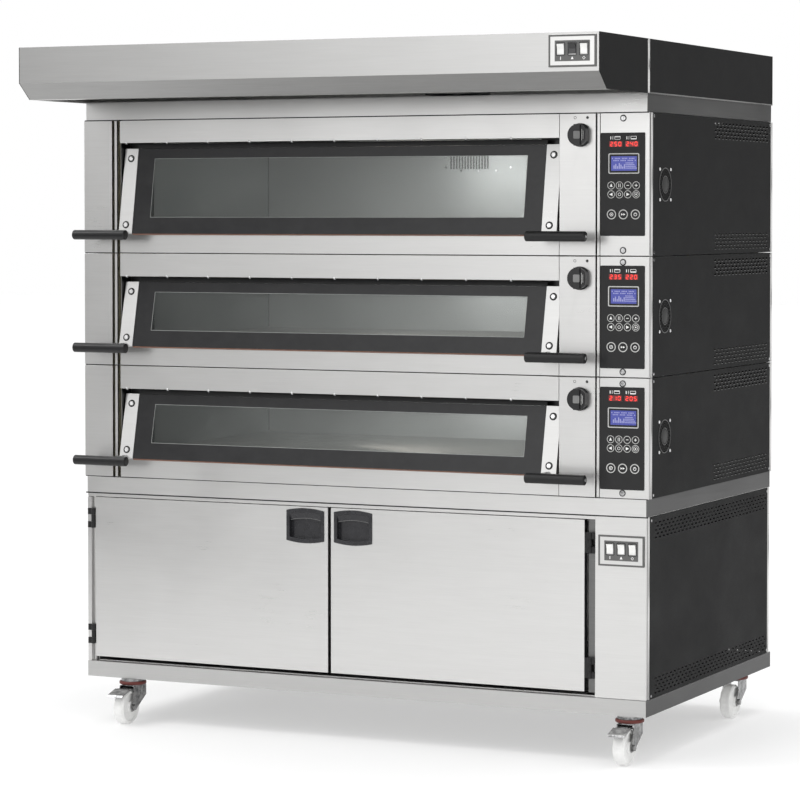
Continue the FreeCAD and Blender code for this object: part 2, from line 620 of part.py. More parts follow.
def door_frame(z0, height):
    """Two channel arms with pivot pins, cover bolts, handle stubs and handle end screws."""
    placement, length = door_frame_of_reference(z0, height)
    low, high, _, _ = opening_heights(z0, height)
    hinge = V(DOOR_CENTRE, FRONT + HINGE_SETBACK, high - HINGE_DROP)
    glass_half = DOOR_WIDTH / 2 - ARM_WIDTH + GLASS_IN_ARM
    back = GLASS + ARM_BACK
    handle_z = low - 2
    solids = []
    for side in (-1, 1):
        outer, inner = side * DOOR_WIDTH / 2, side * (DOOR_WIDTH / 2 - ARM_WIDTH)
        x0, x1 = min(outer, inner), max(outer, inner)
        arm = box(x0, x1, -ARM_FRONT, back, 0, length)
        arm = arm.cut(box(-glass_half, glass_half, 0, GLASS, -1, length + 1))
        ear = box(x0, x1, back, back + 14.2, length - 22, length)
        ear = ear.cut(box(-glass_half - 4, glass_half + 4, 0, 60, -1, length + 1))
        arm = placed(arm.fuse(ear), placement)
        pin_x = DOOR_CENTRE + side * (DOOR_WIDTH / 2 + 1.5)
        arm = arm.fuse(rod(V(pin_x, hinge.y, hinge.z), X_AXIS, DOOR_PIN_RADIUS, 9.0))
        solids.append(arm.removeSplitter())
        bolt_x = side * (DOOR_WIDTH / 2 - ARM_WIDTH / 2)
        for z in (26, length - 29):
            bolt = dome_head(V(bolt_x, -ARM_FRONT, z), V(0, -1, 0), 5.5, 3.0)
            solids.append(placed(bolt, placement))
        stub_front, stub_back = FRONT - HANDLE_PROUD + 8, FRONT - DOOR_FOOT_PROUD + 1
        stub_mid = V(DOOR_CENTRE + bolt_x, (stub_front + stub_back) / 2, handle_z + STUB_RISE)
        stub = rod(stub_mid, Y_AXIS, STUB_RADIUS, stub_back - stub_front)
        solids.append(stub.cut(arm))
        end_x = DOOR_CENTRE + side * (HANDLE_FROM_CENTRE + HANDLE_LENGTH / 2)
        handle_end = V(end_x, FRONT - HANDLE_PROUD, handle_z)
        solids.append(dome_head(handle_end, V(side, 0, 0), 5.0, 2.5))
    return solids


def door_handles(z0, height):
    """Two round bars, each with a socket for its stub."""
    handle_z = opening_heights(z0, height)[0] - 2
    solids = []
    for side in (-1, 1):
        mid = V(DOOR_CENTRE + side * HANDLE_FROM_CENTRE, FRONT - HANDLE_PROUD, handle_z)
        bar = rod(mid, X_AXIS, HANDLE_RADIUS, HANDLE_LENGTH)
        bar = bar.makeFillet(3.0, [e for e in bar.Edges if e.Curve.TypeId == "Part::GeomCircle"])
        stub_x = DOOR_CENTRE + side * (DOOR_WIDTH / 2 - ARM_WIDTH / 2)
        socket_end = V(stub_x, FRONT - HANDLE_PROUD + 8, handle_z + STUB_RISE)
        socket = Part.makeCylinder(STUB_RADIUS + 0.2, 60, socket_end, Y_AXIS)
        solids.append(bar.cut(socket))
    return solids


# ---- casings ------------------------------------------------------------------------------------
def deck_frames():
    """Corner posts, and under and over each deck a chamber sheet and two service bay sheets.

    The service bay sheets leave a gap between them for the flue.
    """
    x0, x1 = LEFT + CASING_INSET, RIGHT - CASING_INSET
    y0, y1 = FRONT + 10, BACK - 4
    solids = []
    for z in [z0 for _, z0, _ in DECKS] + [TOP_BAND_BOTTOM]:
        solids.append(box(x0, BAY_LEFT, y0, y1, z, z + SHEET))
        solids.append(box(BAY_LEFT, x1, y0, FLUE_FRONT - SEAM, z, z + SHEET))
        solids.append(box(BAY_LEFT, x1, FLUE_BACK + SEAM, y1, z, z + SHEET))
    for _, z0, height in DECKS:
        solids += corner_posts(SIDE_FACE, z0, z0 + height)
    return solids + corner_posts(RIGHT - BAND_INSET - 1, BASE_TOP, CABINET_TOP)


def band(z0, z1):
    """Four-sided band, open in the middle, stood back from the deck sides."""
    x0, x1 = LEFT + BAND_INSET, RIGHT - BAND_INSET
    return [
        box(x0, x1, FRONT, FRONT + SHEET, z0, z1),
        box(x0, x1, BACK - SHEET, BACK, z0, z1),
        box(x0, x0 + SHEET, FRONT + SHEET, BACK - SHEET, z0, z1),
        box(x1 - SHEET, x1, FRONT + SHEET, BACK - SHEET, z0, z1),
    ]


def stand_shelf():
    """Sheet on the stand's band that carries the lowest deck."""
    x = RIGHT - BAND_INSET - SHEET
    return box(-x, x, FRONT + SHEET, BACK - SHEET, STAND_TOP - SHEET, STAND_TOP)


def side_panels(side):
    """Side sheets of the three decks and the cabinet. The right ones are punched for cooling air."""
    y0, y1 = FRONT + SIDE_PANEL_FRONT, FRONT + SIDE_PANEL_BACK
    face = side * SIDE_FACE
    inner = side * (SIDE_FACE - SHEET)
    solids = []
    for _, z0, height in DECKS:
        holes = []
        if side > 0:
            for z in (z0 + height - 37, z0 + 36):
                holes += vent_rows(inner, *(FRONT + y for y in DECK_VENTS), z)
            holes += fan_grille(inner, FRONT + FAN_FROM_FRONT, z0 + height / 2)
        outline = rect_wire_yz(inner, y0, y1, z0 + SEAM, z0 + height - SEAM)
        solids.append(side_sheet(inner, face, outline, holes))
    face = side * (RIGHT - BAND_INSET)
    inner = face - side * SHEET
    holes = []
    if side > 0:
        for z in (CABINET_TOP - 40, BASE_TOP + 33):
            holes += vent_rows(inner, *(FRONT + y for y in CABINET_VENTS), z)
    outline = rect_wire_yz(inner, y0, y1, BASE_TOP + SEAM, CABINET_TOP - SEAM)
    solids.append(side_sheet(inner, face, outline, holes))
    return solids


def rear_panels():
    """Rear sheets of the decks and the cabinet."""
    x = RIGHT - 3
    solids = [
        box(-x, x, BACK - SHEET, BACK, z0 + SEAM, z0 + height - SEAM) for _, z0, height in DECKS
    ]
    x = RIGHT - BAND_INSET - SHEET
    solids.append(box(-x, x, BACK - SHEET, BACK, BASE_TOP + SEAM, CABINET_TOP - SEAM))
    return solids


def fasteners():
    """Screws of the side panels, fans, control panels and back walls, and the fascia rivets."""
    solids = []
    side_rows = [(SIDE_FACE, z0 + 10, z0 + height - 10) for _, z0, height in DECKS]
    side_rows.append((RIGHT - BAND_INSET, BASE_TOP + 9, CABINET_TOP - 11))
    for face, low, high in side_rows:
        for y in (FRONT + 37, FRONT + SIDE_PANEL_BACK - 7):
            for z in (low, high):
                solids.append(dome_head(V(face, y, z), V(1, 0, 0), 4.0, 2.0))
                solids.append(dome_head(V(-face, y, z), V(-1, 0, 0), 4.0, 2.0))
    for name, z0, height in DECKS:
        _, high, _, ceiling = opening_heights(z0, height)
        for dy in (-FAN_SCREWS, FAN_SCREWS):
            for dz in (-FAN_SCREWS, FAN_SCREWS):
                where = V(SIDE_FACE, FRONT + FAN_FROM_FRONT + dy, z0 + height / 2 + dz)
                solids.append(dome_head(where, V(1, 0, 0), 3.6, 2.0))
        for z in (z0 + 16, z0 + height - 16):
            where = V(CONTROL_LEFT + 66, FRONT, z)
            solids.append(screw_head(where, V(0, -1, 0), 7.0, 2.0, X_AXIS))
        for step in range(RIVETS):
            x = OPENING_LEFT + RIVET_START + step * RIVET_PITCH
            solids.append(Part.makeCylinder(3.0, 4.0, V(x, FRONT + 4, high - 4), Z_AXIS))
        for dx, dz in BACK_WALL_SCREWS[name]:
            where = V(DOOR_CENTRE + dx, BACK_WALL_Y, ceiling + dz)
            solids.append(dome_head(where, V(0, -1, 0), 4.0, 2.5))
    return solids


# ---- hood ---------------------------------------------------------------------------------------
def hood_canopy():
    """Folded sheets of the hood: face, slope, lip, ends, roof, back and the floor over the decks."""
    face_low = HOOD_TOP - HOOD_FACE_HEIGHT
    foot_y = HOOD_FRONT + HOOD_BEVEL_RUN
    foot_inside = foot_y + 2.6
    slope = [
        (HOOD_FRONT, face_low),
        (foot_y, HOOD_BOTTOM),
        (foot_inside, HOOD_BOTTOM),
        (HOOD_FRONT + SHEET, face_low),
    ]
    profile = [
        (HOOD_FRONT, face_low),
        (foot_y, HOOD_BOTTOM),
        (BACK, HOOD_BOTTOM),
        (BACK, HOOD_TOP),
        (HOOD_FRONT, HOOD_TOP),
    ]
    inner_x = HOOD_X - SHEET
    outlet_y = FRONT + SPIGOT_FROM_FRONT
    hole = rod(V(0, outlet_y, HOOD_TOP), Z_AXIS, SPIGOT_RADIUS - SHEET, 40)
    inside_y = (HOOD_FRONT + SHEET, BACK - SHEET)
    roof = box(-inner_x, inner_x, *inside_y, HOOD_TOP - SHEET, HOOD_TOP).cut(hole)
    flue_x = (FLUE_LEFT - SEAM, FLUE_RIGHT + SEAM)
    flue_y = (FLUE_FRONT - SEAM, FLUE_BACK + SEAM)
    flue_hole = box(*flue_x, *flue_y, HOOD_BOTTOM - 1, HOOD_BOTTOM + 5)
    floor = box(-inner_x, inner_x, FRONT + SHEET, BACK - SHEET, HOOD_BOTTOM, HOOD_BOTTOM + SHEET)
    face = box(-inner_x, inner_x, HOOD_FRONT, HOOD_FRONT + SHEET, face_low, HOOD_TOP)
    return [
        face.cut(switch_cut(HOOD_FRONT, HOOD_SWITCH_Z)),
        prism(slope, -inner_x, inner_x),
        box(-inner_x, inner_x, foot_inside, foot_y + HOOD_LIP, HOOD_BOTTOM, HOOD_BOTTOM + SHEET),
        prism(profile, -HOOD_X, -inner_x),
        prism(profile, inner_x, HOOD_X),
        roof,
        box(-inner_x, inner_x, BACK - SHEET, BACK, HOOD_BOTTOM, HOOD_TOP),
        floor.cut(flue_hole),
    ]


def exhaust_spigot():
    """Round outlet collar on the hood roof with a fan bracket and bearing pin under it."""
    y = FRONT + SPIGOT_FROM_FRONT
    inside = SPIGOT_RADIUS - SHEET
    collar_mid = V(0, y, HOOD_TOP + SPIGOT_HEIGHT / 2)
    collar = tube(collar_mid, Z_AXIS, SPIGOT_RADIUS, inside, SPIGOT_HEIGHT)
    flange = tube(V(0, y, HOOD_TOP + SHEET / 2), Z_AXIS, SPIGOT_RADIUS + 22, inside, SHEET)
    foot = HOOD_BOTTOM + SHEET
    motor = Part.makeCylinder(40, 30, V(0, y, foot), Z_AXIS)
    pin = Part.makeCylinder(EXTRACTOR_PIN, 45, V(0, y, foot + 28), Z_AXIS)
    return [collar.fuse(flange).removeSplitter(), motor.fuse(pin).removeSplitter()]


def extractor_wheel():
    """Open blower wheel: back disc, hub and angled blades standing on the disc's rim."""
    y = FRONT + SPIGOT_FROM_FRONT
    z0 = HOOD_BOTTOM + SHEET + 33
    bore = Part.makeCylinder(EXTRACTOR_PIN + PIN_CLEARANCE, 60, V(0, y, z0 - 5), Z_AXIS)
    disc = Part.makeCylinder(EXTRACTOR_RADIUS, SHEET, V(0, y, z0), Z_AXIS)
    hub = Part.makeCylinder(EXTRACTOR_HUB, 28, V(0, y, z0 + SHEET), Z_AXIS)
    solids = [disc.cut(bore), hub.cut(bore)]
    for step in range(EXTRACTOR_BLADES):
        blade = Part.makeBox(26, 1.5, 48, V(-13, -0.75, SHEET))
        blade.rotate(V(0, 0, 0), Z_AXIS, 28)
        blade.translate(V(EXTRACTOR_RADIUS - 14, 0, 0))
        blade.rotate(V(0, 0, 0), Z_AXIS, step * 360.0 / EXTRACTOR_BLADES)
        blade.translate(V(0, y, z0))
        solids.append(blade)
    return solids


# ---- switches -----------------------------------------------------------------------------------
def rocker_centres(y_face, z_mid):
    """Middle of each rocker's pivot."""
    y, z = y_face + ROCKER_SETBACK, z_mid + ROCKER_RISE
    return [V(SWITCH_X + i * SWITCH_PITCH, y, z) for i in (-1, 0, 1)]


def switch_cut(y_face, z_mid):
    """Hole in a panel for the three rocker housings."""
    half, z = SWITCH_CUT[0] / 2, z_mid + ROCKER_RISE - SWITCH_CUT[1] / 2
    return box(SWITCH_X - half, SWITCH_X + half, y_face - 1, y_face + 4, z, z + SWITCH_CUT[1])


def switch_plate(y_face, z_mid):
    """Face plate with three rocker windows, on a panel face, and the rocker housings behind it."""
    half, rise, thick = SWITCH_PLATE[0] / 2, SWITCH_PLATE[1] / 2, SWITCH_PLATE[2]
    face = y_face - thick
    plate = box(SWITCH_X - half, SWITCH_X + half, face, y_face, z_mid - rise, z_mid + rise)
    front_edges = [e for e in plate.Edges if abs(e.CenterOfMass.y - face) < 0.1]
    plate = plate.makeChamfer(1.0, front_edges)
    width, height, depth = ROCKER_HOUSING
    room_x, room_z = ROCKER[0] / 2 + ROCKER_GAP, ROCKER[1] / 2 + ROCKER_GAP
    solids = []
    for pivot in rocker_centres(y_face, z_mid):
        x, z = pivot.x, pivot.z
        room = box(x - room_x, x + room_x, face - 1, y_face + depth - 3, z - room_z, z + room_z)
        pin_hole = rod(pivot, X_AXIS, ROCKER_PIN + PIN_CLEARANCE, width - 1)
        shell = Part.makeBox(width, depth, height, V(x - width / 2, y_face, z - height / 2))
        plate = plate.cut([room, pin_hole])
        solids.append(shell.cut([room, pin_hole]))
    return [plate] + solids


def rocker(pivot, y_face):
    """Rocker with two shallow faces and a pivot pin, resting on its lower half."""
    x, z = pivot.x, pivot.z
    half = ROCKER[1] / 2 - 0.5
    tilt = math.radians(ROCKER_TILT)
    sag = half * math.tan(tilt)
    reach = (SWITCH_PROUD + ROCKER_SETBACK - half * math.sin(tilt)) / math.cos(tilt)
    tip = pivot.y - reach
    back = y_face + 2
    outline = [
        (tip, z - half),
        (tip + sag, z),
        (tip, z + half),
        (back, z + half - 3.5),
        (back + 4, z),
        (back, z - half + 3.5),
    ]
    shape = prism(outline, x - ROCKER[0] / 2, x + ROCKER[0] / 2)
    shape.rotate(pivot, X_AXIS, ROCKER_TILT)
    return shape.fuse(rod(pivot, X_AXIS, ROCKER_PIN, ROCKER_HOUSING[0] - 1.4)).removeSplitter()


# ---- cabinet ------------------------------------------------------------------------------------
def cabinet_shell():
    """Cabinet floor, roof, walls, back, door rail and the folded front of the service column."""
    x0, x1 = LEFT + 30, COLUMN_LEFT + 2
    y0, y1 = FRONT + 24, BACK - 30
    z0, z1 = BASE_TOP, CABINET_TOP
    column = front_pan(COLUMN_LEFT, RIGHT - BAND_INSET, z0 + SEAM, z1 - SEAM)
    return [
        box(x0, x1, y0, y1, z0, z0 + SHEET),
        box(x0, x1, y0, y1, z1 - SHEET, z1),
        box(x0, x0 + SHEET, y0, y1, z0 + SHEET, z1 - SHEET),
        box(x1 - SHEET, x1, y0, y1, z0 + SHEET, z1 - SHEET),
        box(x0 + SHEET, x1 - SHEET, y1 - SHEET, y1, z0 + SHEET, z1 - SHEET),
        box(LEFT + BAND_INSET, COLUMN_LEFT - 1, FRONT + 3, FRONT + 9, CABINET_DOOR_Z[1] + 2, z1),
        box(LEFT + BAND_INSET, LEFT + 20, FRONT + 1, FRONT + 12, z0 + SEAM, CABINET_DOOR_Z[1]),
        column.cut(switch_cut(FRONT, CABINET_SWITCH_Z)),
    ]


def pull_outline(centre_x, width, height, bow):
    """Closed outline in XZ with arched upper and lower edges."""
    x0, x1 = centre_x - width / 2, centre_x + width / 2
    z0, z1 = PULL_Z - height / 2, PULL_Z + height / 2
    y = FRONT
    edges = [
        Part.LineSegment(V(x0, y, z0), V(x0, y, z1)).toShape(),
        Part.Arc(V(x0, y, z1), V(centre_x, y, z1 + bow), V(x1, y, z1)).toShape(),
        Part.LineSegment(V(x1, y, z1), V(x1, y, z0)).toShape(),
        Part.Arc(V(x1, y, z0), V(centre_x, y, z0 - bow), V(x0, y, z0)).toShape(),
    ]
    return Part.Wire(edges)


def arched_block(centre_x, width, height, bow, y0, y1):
    block = Part.Face(pull_outline(centre_x, width, height, bow)).extrude(V(0, y1 - y0, 0))
    block.translate(V(0, y0 - FRONT, 0))
    return block


def cabinet_door(x_range, pull_x, hinge_x):
    """Folded door tray with an arched pull cut-out, and its hinge leaves and knuckles."""
    x0, x1 = x_range
    z0, z1 = CABINET_DOOR_Z
    tray = front_pan(x0, x1, z0, z1, FRONT, CABINET_DOOR_DEPTH)
    cut_size = (PULL_SIZE[0] - 14, PULL_SIZE[1] - 14)
    cut_out = arched_block(pull_x, *cut_size, 5.0, FRONT - 1, FRONT + 3)
    solids = [tray.cut(cut_out)]
    side = 1 if hinge_x > x1 else -1
    edge = x1 if side > 0 else x0
    for z in HINGE_HEIGHTS:
        near = hinge_x - side * (BARREL + 0.5)
        leaf = box(min(edge, near), max(edge, near), FRONT, FRONT + 6, z - LEAF_HALF, z + LEAF_HALF)
        bridge_x = hinge_x - side * 3
        half = MIDDLE_KNUCKLE / 2
        bridge = box(min(edge, bridge_x), max(edge, bridge_x), FRONT, FRONT + 3.5, z - half, z + half)
        knuckle = rod(V(hinge_x, HINGE_Y, z), Z_AXIS, BARREL, MIDDLE_KNUCKLE)
        bore = rod(V(hinge_x, HINGE_Y, z), Z_AXIS, HINGE_PIN + PIN_CLEARANCE, 30)
        solids.append(leaf.fuse([bridge, knuckle]).cut(bore).removeSplitter())
    return solids


def cabinet_hinges():
    """Fixed knuckles, tabs and pins of the four cabinet hinges."""
    solids = []
    for hinge_x, side, tab_end in ((LEFT_HINGE_X, -1, LEFT + 9), (RIGHT_HINGE_X, 1, COLUMN_LEFT)):
        for z in HINGE_HEIGHTS:
            pieces = []
            for end in (-1, 1):
                knuckle_z = z + end * 19.5
                pieces.append(rod(V(hinge_x, HINGE_Y, knuckle_z), Z_AXIS, BARREL, KNUCKLE))
                inner = hinge_x + side * 3
                x0, x1 = min(inner, tab_end), max(inner, tab_end)
                z0, z1 = knuckle_z - KNUCKLE / 2, knuckle_z + KNUCKLE / 2
                pieces.append(box(x0, x1, FRONT - 2, FRONT + 1, z0, z1))
            pin = rod(V(hinge_x, HINGE_Y, z), Z_AXIS, HINGE_PIN, 2 * LEAF_HALF)
            solids.append(pin.fuse(pieces).removeSplitter())
    return solids


def door_pull(pull_x):
    """Recessed pull: arched flange, sunken cup and a lip behind which fingers hook."""
    width, height = PULL_SIZE
    flange = arched_block(pull_x, width, height, 7.0, FRONT - 2.5, FRONT)
    cup = arched_block(pull_x, width - 15, height - 15, 5.0, FRONT, FRONT + 16)
    hollow = arched_block(pull_x, width - 20, height - 20, 5.0, FRONT - 4, FRONT + 14)
    return flange.fuse(cup).cut(hollow).removeSplitter()


# ---- base and castors ---------------------------------------------------------------------------
def base_frame():
    """Four rails, their top sheet, and a channel over the castors at each side."""
    x0, x1 = LEFT + BAND_INSET, RIGHT - BAND_INSET
    y0, y1 = FRONT, FRONT + BASE_DEPTH
    solids = [
        box(x0, x1, y0, y0 + SHEET, BASE_BOTTOM, BASE_TOP - SHEET),
        box(x0, x1, y1 - SHEET, y1, BASE_BOTTOM, BASE_TOP - SHEET),
        box(x0, x0 + SHEET, y0 + SHEET, y1 - SHEET, BASE_BOTTOM, BASE_TOP - SHEET),
        box(x1 - SHEET, x1, y0 + SHEET, y1 - SHEET, BASE_BOTTOM, BASE_TOP - SHEET),
        box(x0, x1, y0, y1, BASE_TOP - SHEET, BASE_TOP),
        box(x0 + SHEET, x1 - SHEET, y0 + SHEET, y0 + RAIL, BASE_BOTTOM, BASE_BOTTOM + SHEET),
    ]
    run = (y0 + RAIL, y1 - SHEET)
    web = (BASE_BOTTOM + BEARER_SHEET, BASE_TOP - SHEET)
    for x in (LEFT + CASTOR_LEFT, RIGHT - CASTOR_RIGHT):
        left, right = x - BEARER_HALF, x + BEARER_HALF
        solids.append(box(left, right, *run, BASE_BOTTOM, web[0]))
        solids.append(box(left, left + BEARER_SHEET, *run, *web))
        solids.append(box(right - BEARER_SHEET, right, *run, *web))
    return solids


def castor_head(x, y):
    """Round mounting head with the kingpin."""
    head = Part.makeCylinder(HEAD_RADIUS, HEAD_THICKNESS, V(x, y, BASE_BOTTOM - HEAD_THICKNESS), Z_AXIS)
    kingpin = Part.makeCylinder(KINGPIN, 20, V(x, y, BASE_BOTTOM - 24), Z_AXIS)
    return head.fuse(kingpin).removeSplitter()


def castor_fork(x, y):
    """Pressed fork with its axle, trailing towards the front."""
    top = box(x - FORK_INSIDE - LEG, x + FORK_INSIDE + LEG, y - 20, y + 34, FORK_TOP - 5, FORK_TOP)
    race = Part.makeCylinder(RACE_RADIUS, 6, V(x, y, FORK_TOP), Z_AXIS)
    legs = []
    leg_outline = [
        (y - 34, FORK_TOP - 3),
        (y + 34, FORK_TOP - 3),
        (y + 34, FORK_TOP - 34),
        (y - TRAIL + 12, WHEEL_RADIUS - 9),
        (y - TRAIL - 8, WHEEL_RADIUS - 12),
        (y - TRAIL - 13, WHEEL_RADIUS + 2),
        (y - 36, FORK_TOP - 25),
    ]
    for side in (-1, 1):
        near, far = x + side * FORK_INSIDE, x + side * (FORK_INSIDE + LEG)
        legs.append(prism(leg_outline, min(near, far), max(near, far)))
    outside = FORK_INSIDE + LEG
    axle = rod(V(x, y - TRAIL, WHEEL_RADIUS), X_AXIS, AXLE, 2 * outside + 4)
    nut_offset = outside + AXLE_NUT[1] / 2
    nut_places = [V(x + side * nut_offset, y - TRAIL, WHEEL_RADIUS) for side in (-1, 1)]
    nuts = [rod(place, X_AXIS, *AXLE_NUT) for place in nut_places]
    bore = Part.makeCylinder(KINGPIN + PIN_CLEARANCE, 60, V(x, y, FORK_TOP - 30), Z_AXIS)
    return top.fuse([race] + legs + [axle] + nuts).cut(bore).removeSplitter()


def pedal_pin(x, y):
    return rod(V(x, y + PEDAL_PIVOT[0], PEDAL_PIVOT[1]), X_AXIS, PEDAL_PIN, 2 * FORK_INSIDE + 2)


def castor_wheel(x, y):
    """Moulded wheel: rounded tread, sunken web and a hub."""
    half = WHEEL_WIDTH / 2
    outline = [
        V(-half, 0, AXLE + PIN_CLEARANCE),
        V(-half - 3, 0, AXLE + PIN_CLEARANCE),
        V(-half - 3, 0, 15),
        V(-half + 4, 0, 17),
        V(-half + 4, 0, 38),
        V(-half, 0, 41),
        V(-half, 0, WHEEL_RADIUS - 5),
        V(-half + 5, 0, WHEEL_RADIUS),
        V(half - 5, 0, WHEEL_RADIUS),
        V(half, 0, WHEEL_RADIUS - 5),
        V(half, 0, 41),
        V(half - 4, 0, 38),
        V(half - 4, 0, 17),
        V(half + 3, 0, 15),
        V(half + 3, 0, AXLE + PIN_CLEARANCE),
    ]
    face = Part.Face(Part.makePolygon(outline + outline[:1]))
    wheel = face.revolve(V(0, 0, 0), X_AXIS, 360)
    wheel.translate(V(x, y - TRAIL, WHEEL_RADIUS))
    return wheel


def brake_pedal(x, y):
    """Pressed foot pedal on a cross pin at the top of the fork."""
    pivot_y, pivot_z = y + PEDAL_PIVOT[0], PEDAL_PIVOT[1]
    inner = [
        (pivot_y - 2, pivot_z - 2),
        (pivot_y - 2, pivot_z + 2),
        (y - 60, 104.5),
        (y - 60, 101.5),
    ]
    plate = [
        (y - 59, 101.5),
        (y - 59, 104.5),
        (y - 100, 92.5),
        (y - 104, 86.5),
        (y - 101, 85.5),
        (y - 98, 90),
    ]
    barrel = rod(V(x, pivot_y, pivot_z), X_AXIS, 5.0, 2 * FORK_INSIDE - 2)
    pedal = barrel.fuse([prism(inner, x - 20, x + 20), prism(plate, x - 25, x + 25)])
    bore = rod(V(x, pivot_y, pivot_z), X_AXIS, PEDAL_PIN + PIN_CLEARANCE, 90)
    return pedal.cut(bore).removeSplitter()


# ---- nodes --------------------------------------------------------------------------------------
def save_decks():
    for name, z0, height in DECKS:
        save(name + "_front_panels", front_panels(z0, height))
        save(name + "_chamber_liner", chamber_liner(name, z0, height))
        save(name + "_door_glass", [door_glass(z0, height)])
        save(name + "_door_frame", door_frame(z0, height))
        save(name + "_door_handles", door_handles(z0, height))
        save(name + "_vent_knob", vent_knob(z0, height))
        save(name + "_fan_rotor", [fan_rotor(z0, height)])
    sizes = [(z0, height) for _, z0, height in DECKS]
    save("baking_stones", [s for size in sizes for s in baking_stones(*size)])
    save("heating_elements", [s for size in sizes for s in heating_rods(*size)])
    save("insulation", [s for size in sizes for s in insulation(*size)])
    save("control_panels", [control_panel(*size) for size in sizes])
    save("fan_frames", [fan_frame(*size) for size in sizes])
    save("steam_ducts", [flue()] + [s for size in sizes for s in steam_duct(*size)])


def save_casings():
    save("deck_frames", deck_frames())
    bands = band(TOP_BAND_BOTTOM, HOOD_BOTTOM) + band(CABINET_TOP, STAND_TOP)
    save("frame_bands", bands + [stand_shelf()])
    save("right_side_panels", side_panels(1))
    save("left_side_panels", side_panels(-1))
    save("rear_panels", rear_panels())
    save("fasteners", fasteners())
    save("hood_canopy", hood_canopy() + exhaust_spigot())
    save("extractor_wheel", extractor_wheel())


def save_cabinet():
    save("cabinet_shell", cabinet_shell())
    save("cabinet_left_door", cabinet_door(LEFT_DOOR, LEFT_PULL_X, LEFT_HINGE_X))
    save("cabinet_right_door", cabinet_door(RIGHT_DOOR, RIGHT_PULL_X, RIGHT_HINGE_X))
    save("left_door_pull", [door_pull(LEFT_PULL_X)])
    save("right_door_pull", [door_pull(RIGHT_PULL_X)])
    save("cabinet_hinges", cabinet_hinges())
    places = (("hood", HOOD_FRONT, HOOD_SWITCH_Z), ("cabinet", FRONT, CABINET_SWITCH_Z))
    save("switch_plates", [s for _, y_face, z_mid in places for s in switch_plate(y_face, z_mid)])
    for place, y_face, z_mid in places:
        for side, pivot in zip(("left", "middle", "right"), rocker_centres(y_face, z_mid)):
            save(place + "_switch_" + side, [rocker(pivot, y_face)])


def save_base():
    save("base_frame", base_frame())
    save("castor_heads", [castor_head(x, y) for _, x, y in CASTORS])
    for name, x, y in CASTORS:
        fork = castor_fork(x, y)
        if name.startswith("front"):
            fork = fork.fuse(pedal_pin(x, y)).removeSplitter()
            save(name + "_brake_pedal", [brake_pedal(x, y)])
        save(name + "_castor_fork", [fork])
        save(name + "_castor_wheel", [castor_wheel(x, y)])


os.makedirs("parts", exist_ok=True)
save_decks()
save_casings()
save_cabinet()
save_base()
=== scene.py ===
import json
import math

import bmesh
import bpy
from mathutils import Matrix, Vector


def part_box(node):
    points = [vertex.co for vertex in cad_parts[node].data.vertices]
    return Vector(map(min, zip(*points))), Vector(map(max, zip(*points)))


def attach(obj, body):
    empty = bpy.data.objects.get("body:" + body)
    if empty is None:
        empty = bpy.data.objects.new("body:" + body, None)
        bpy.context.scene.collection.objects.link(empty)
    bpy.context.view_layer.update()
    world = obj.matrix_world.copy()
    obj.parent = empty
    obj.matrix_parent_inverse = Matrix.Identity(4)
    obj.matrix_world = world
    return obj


# Looks for the three-deck bakery oven. Places are metres in the CAD frame: +X to the oven's right, +Y to the
# back, +Z up, with the floor at z = 0. Sizes on a Plane are millimetres.

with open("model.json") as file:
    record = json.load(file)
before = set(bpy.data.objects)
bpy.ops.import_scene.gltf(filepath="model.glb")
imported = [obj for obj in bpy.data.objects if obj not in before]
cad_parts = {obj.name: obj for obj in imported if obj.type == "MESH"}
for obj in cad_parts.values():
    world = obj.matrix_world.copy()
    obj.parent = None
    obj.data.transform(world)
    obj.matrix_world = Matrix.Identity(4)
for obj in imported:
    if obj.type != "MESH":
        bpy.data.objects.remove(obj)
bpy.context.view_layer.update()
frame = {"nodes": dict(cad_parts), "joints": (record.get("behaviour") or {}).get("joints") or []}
nodes = frame["nodes"]

MM = 0.001
DECKS = ("lower", "middle", "upper")
X_AXIS = Vector((1, 0, 0))
Y_AXIS = Vector((0, 1, 0))
Z_AXIS = Vector((0, 0, 1))
DECK_BOX = {deck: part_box(deck + "_front_panels") for deck in DECKS}
FRONT = DECK_BOX["upper"][0].y           # the decks' front faces
BAND_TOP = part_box("frame_bands")[1].z    # where the hood stands


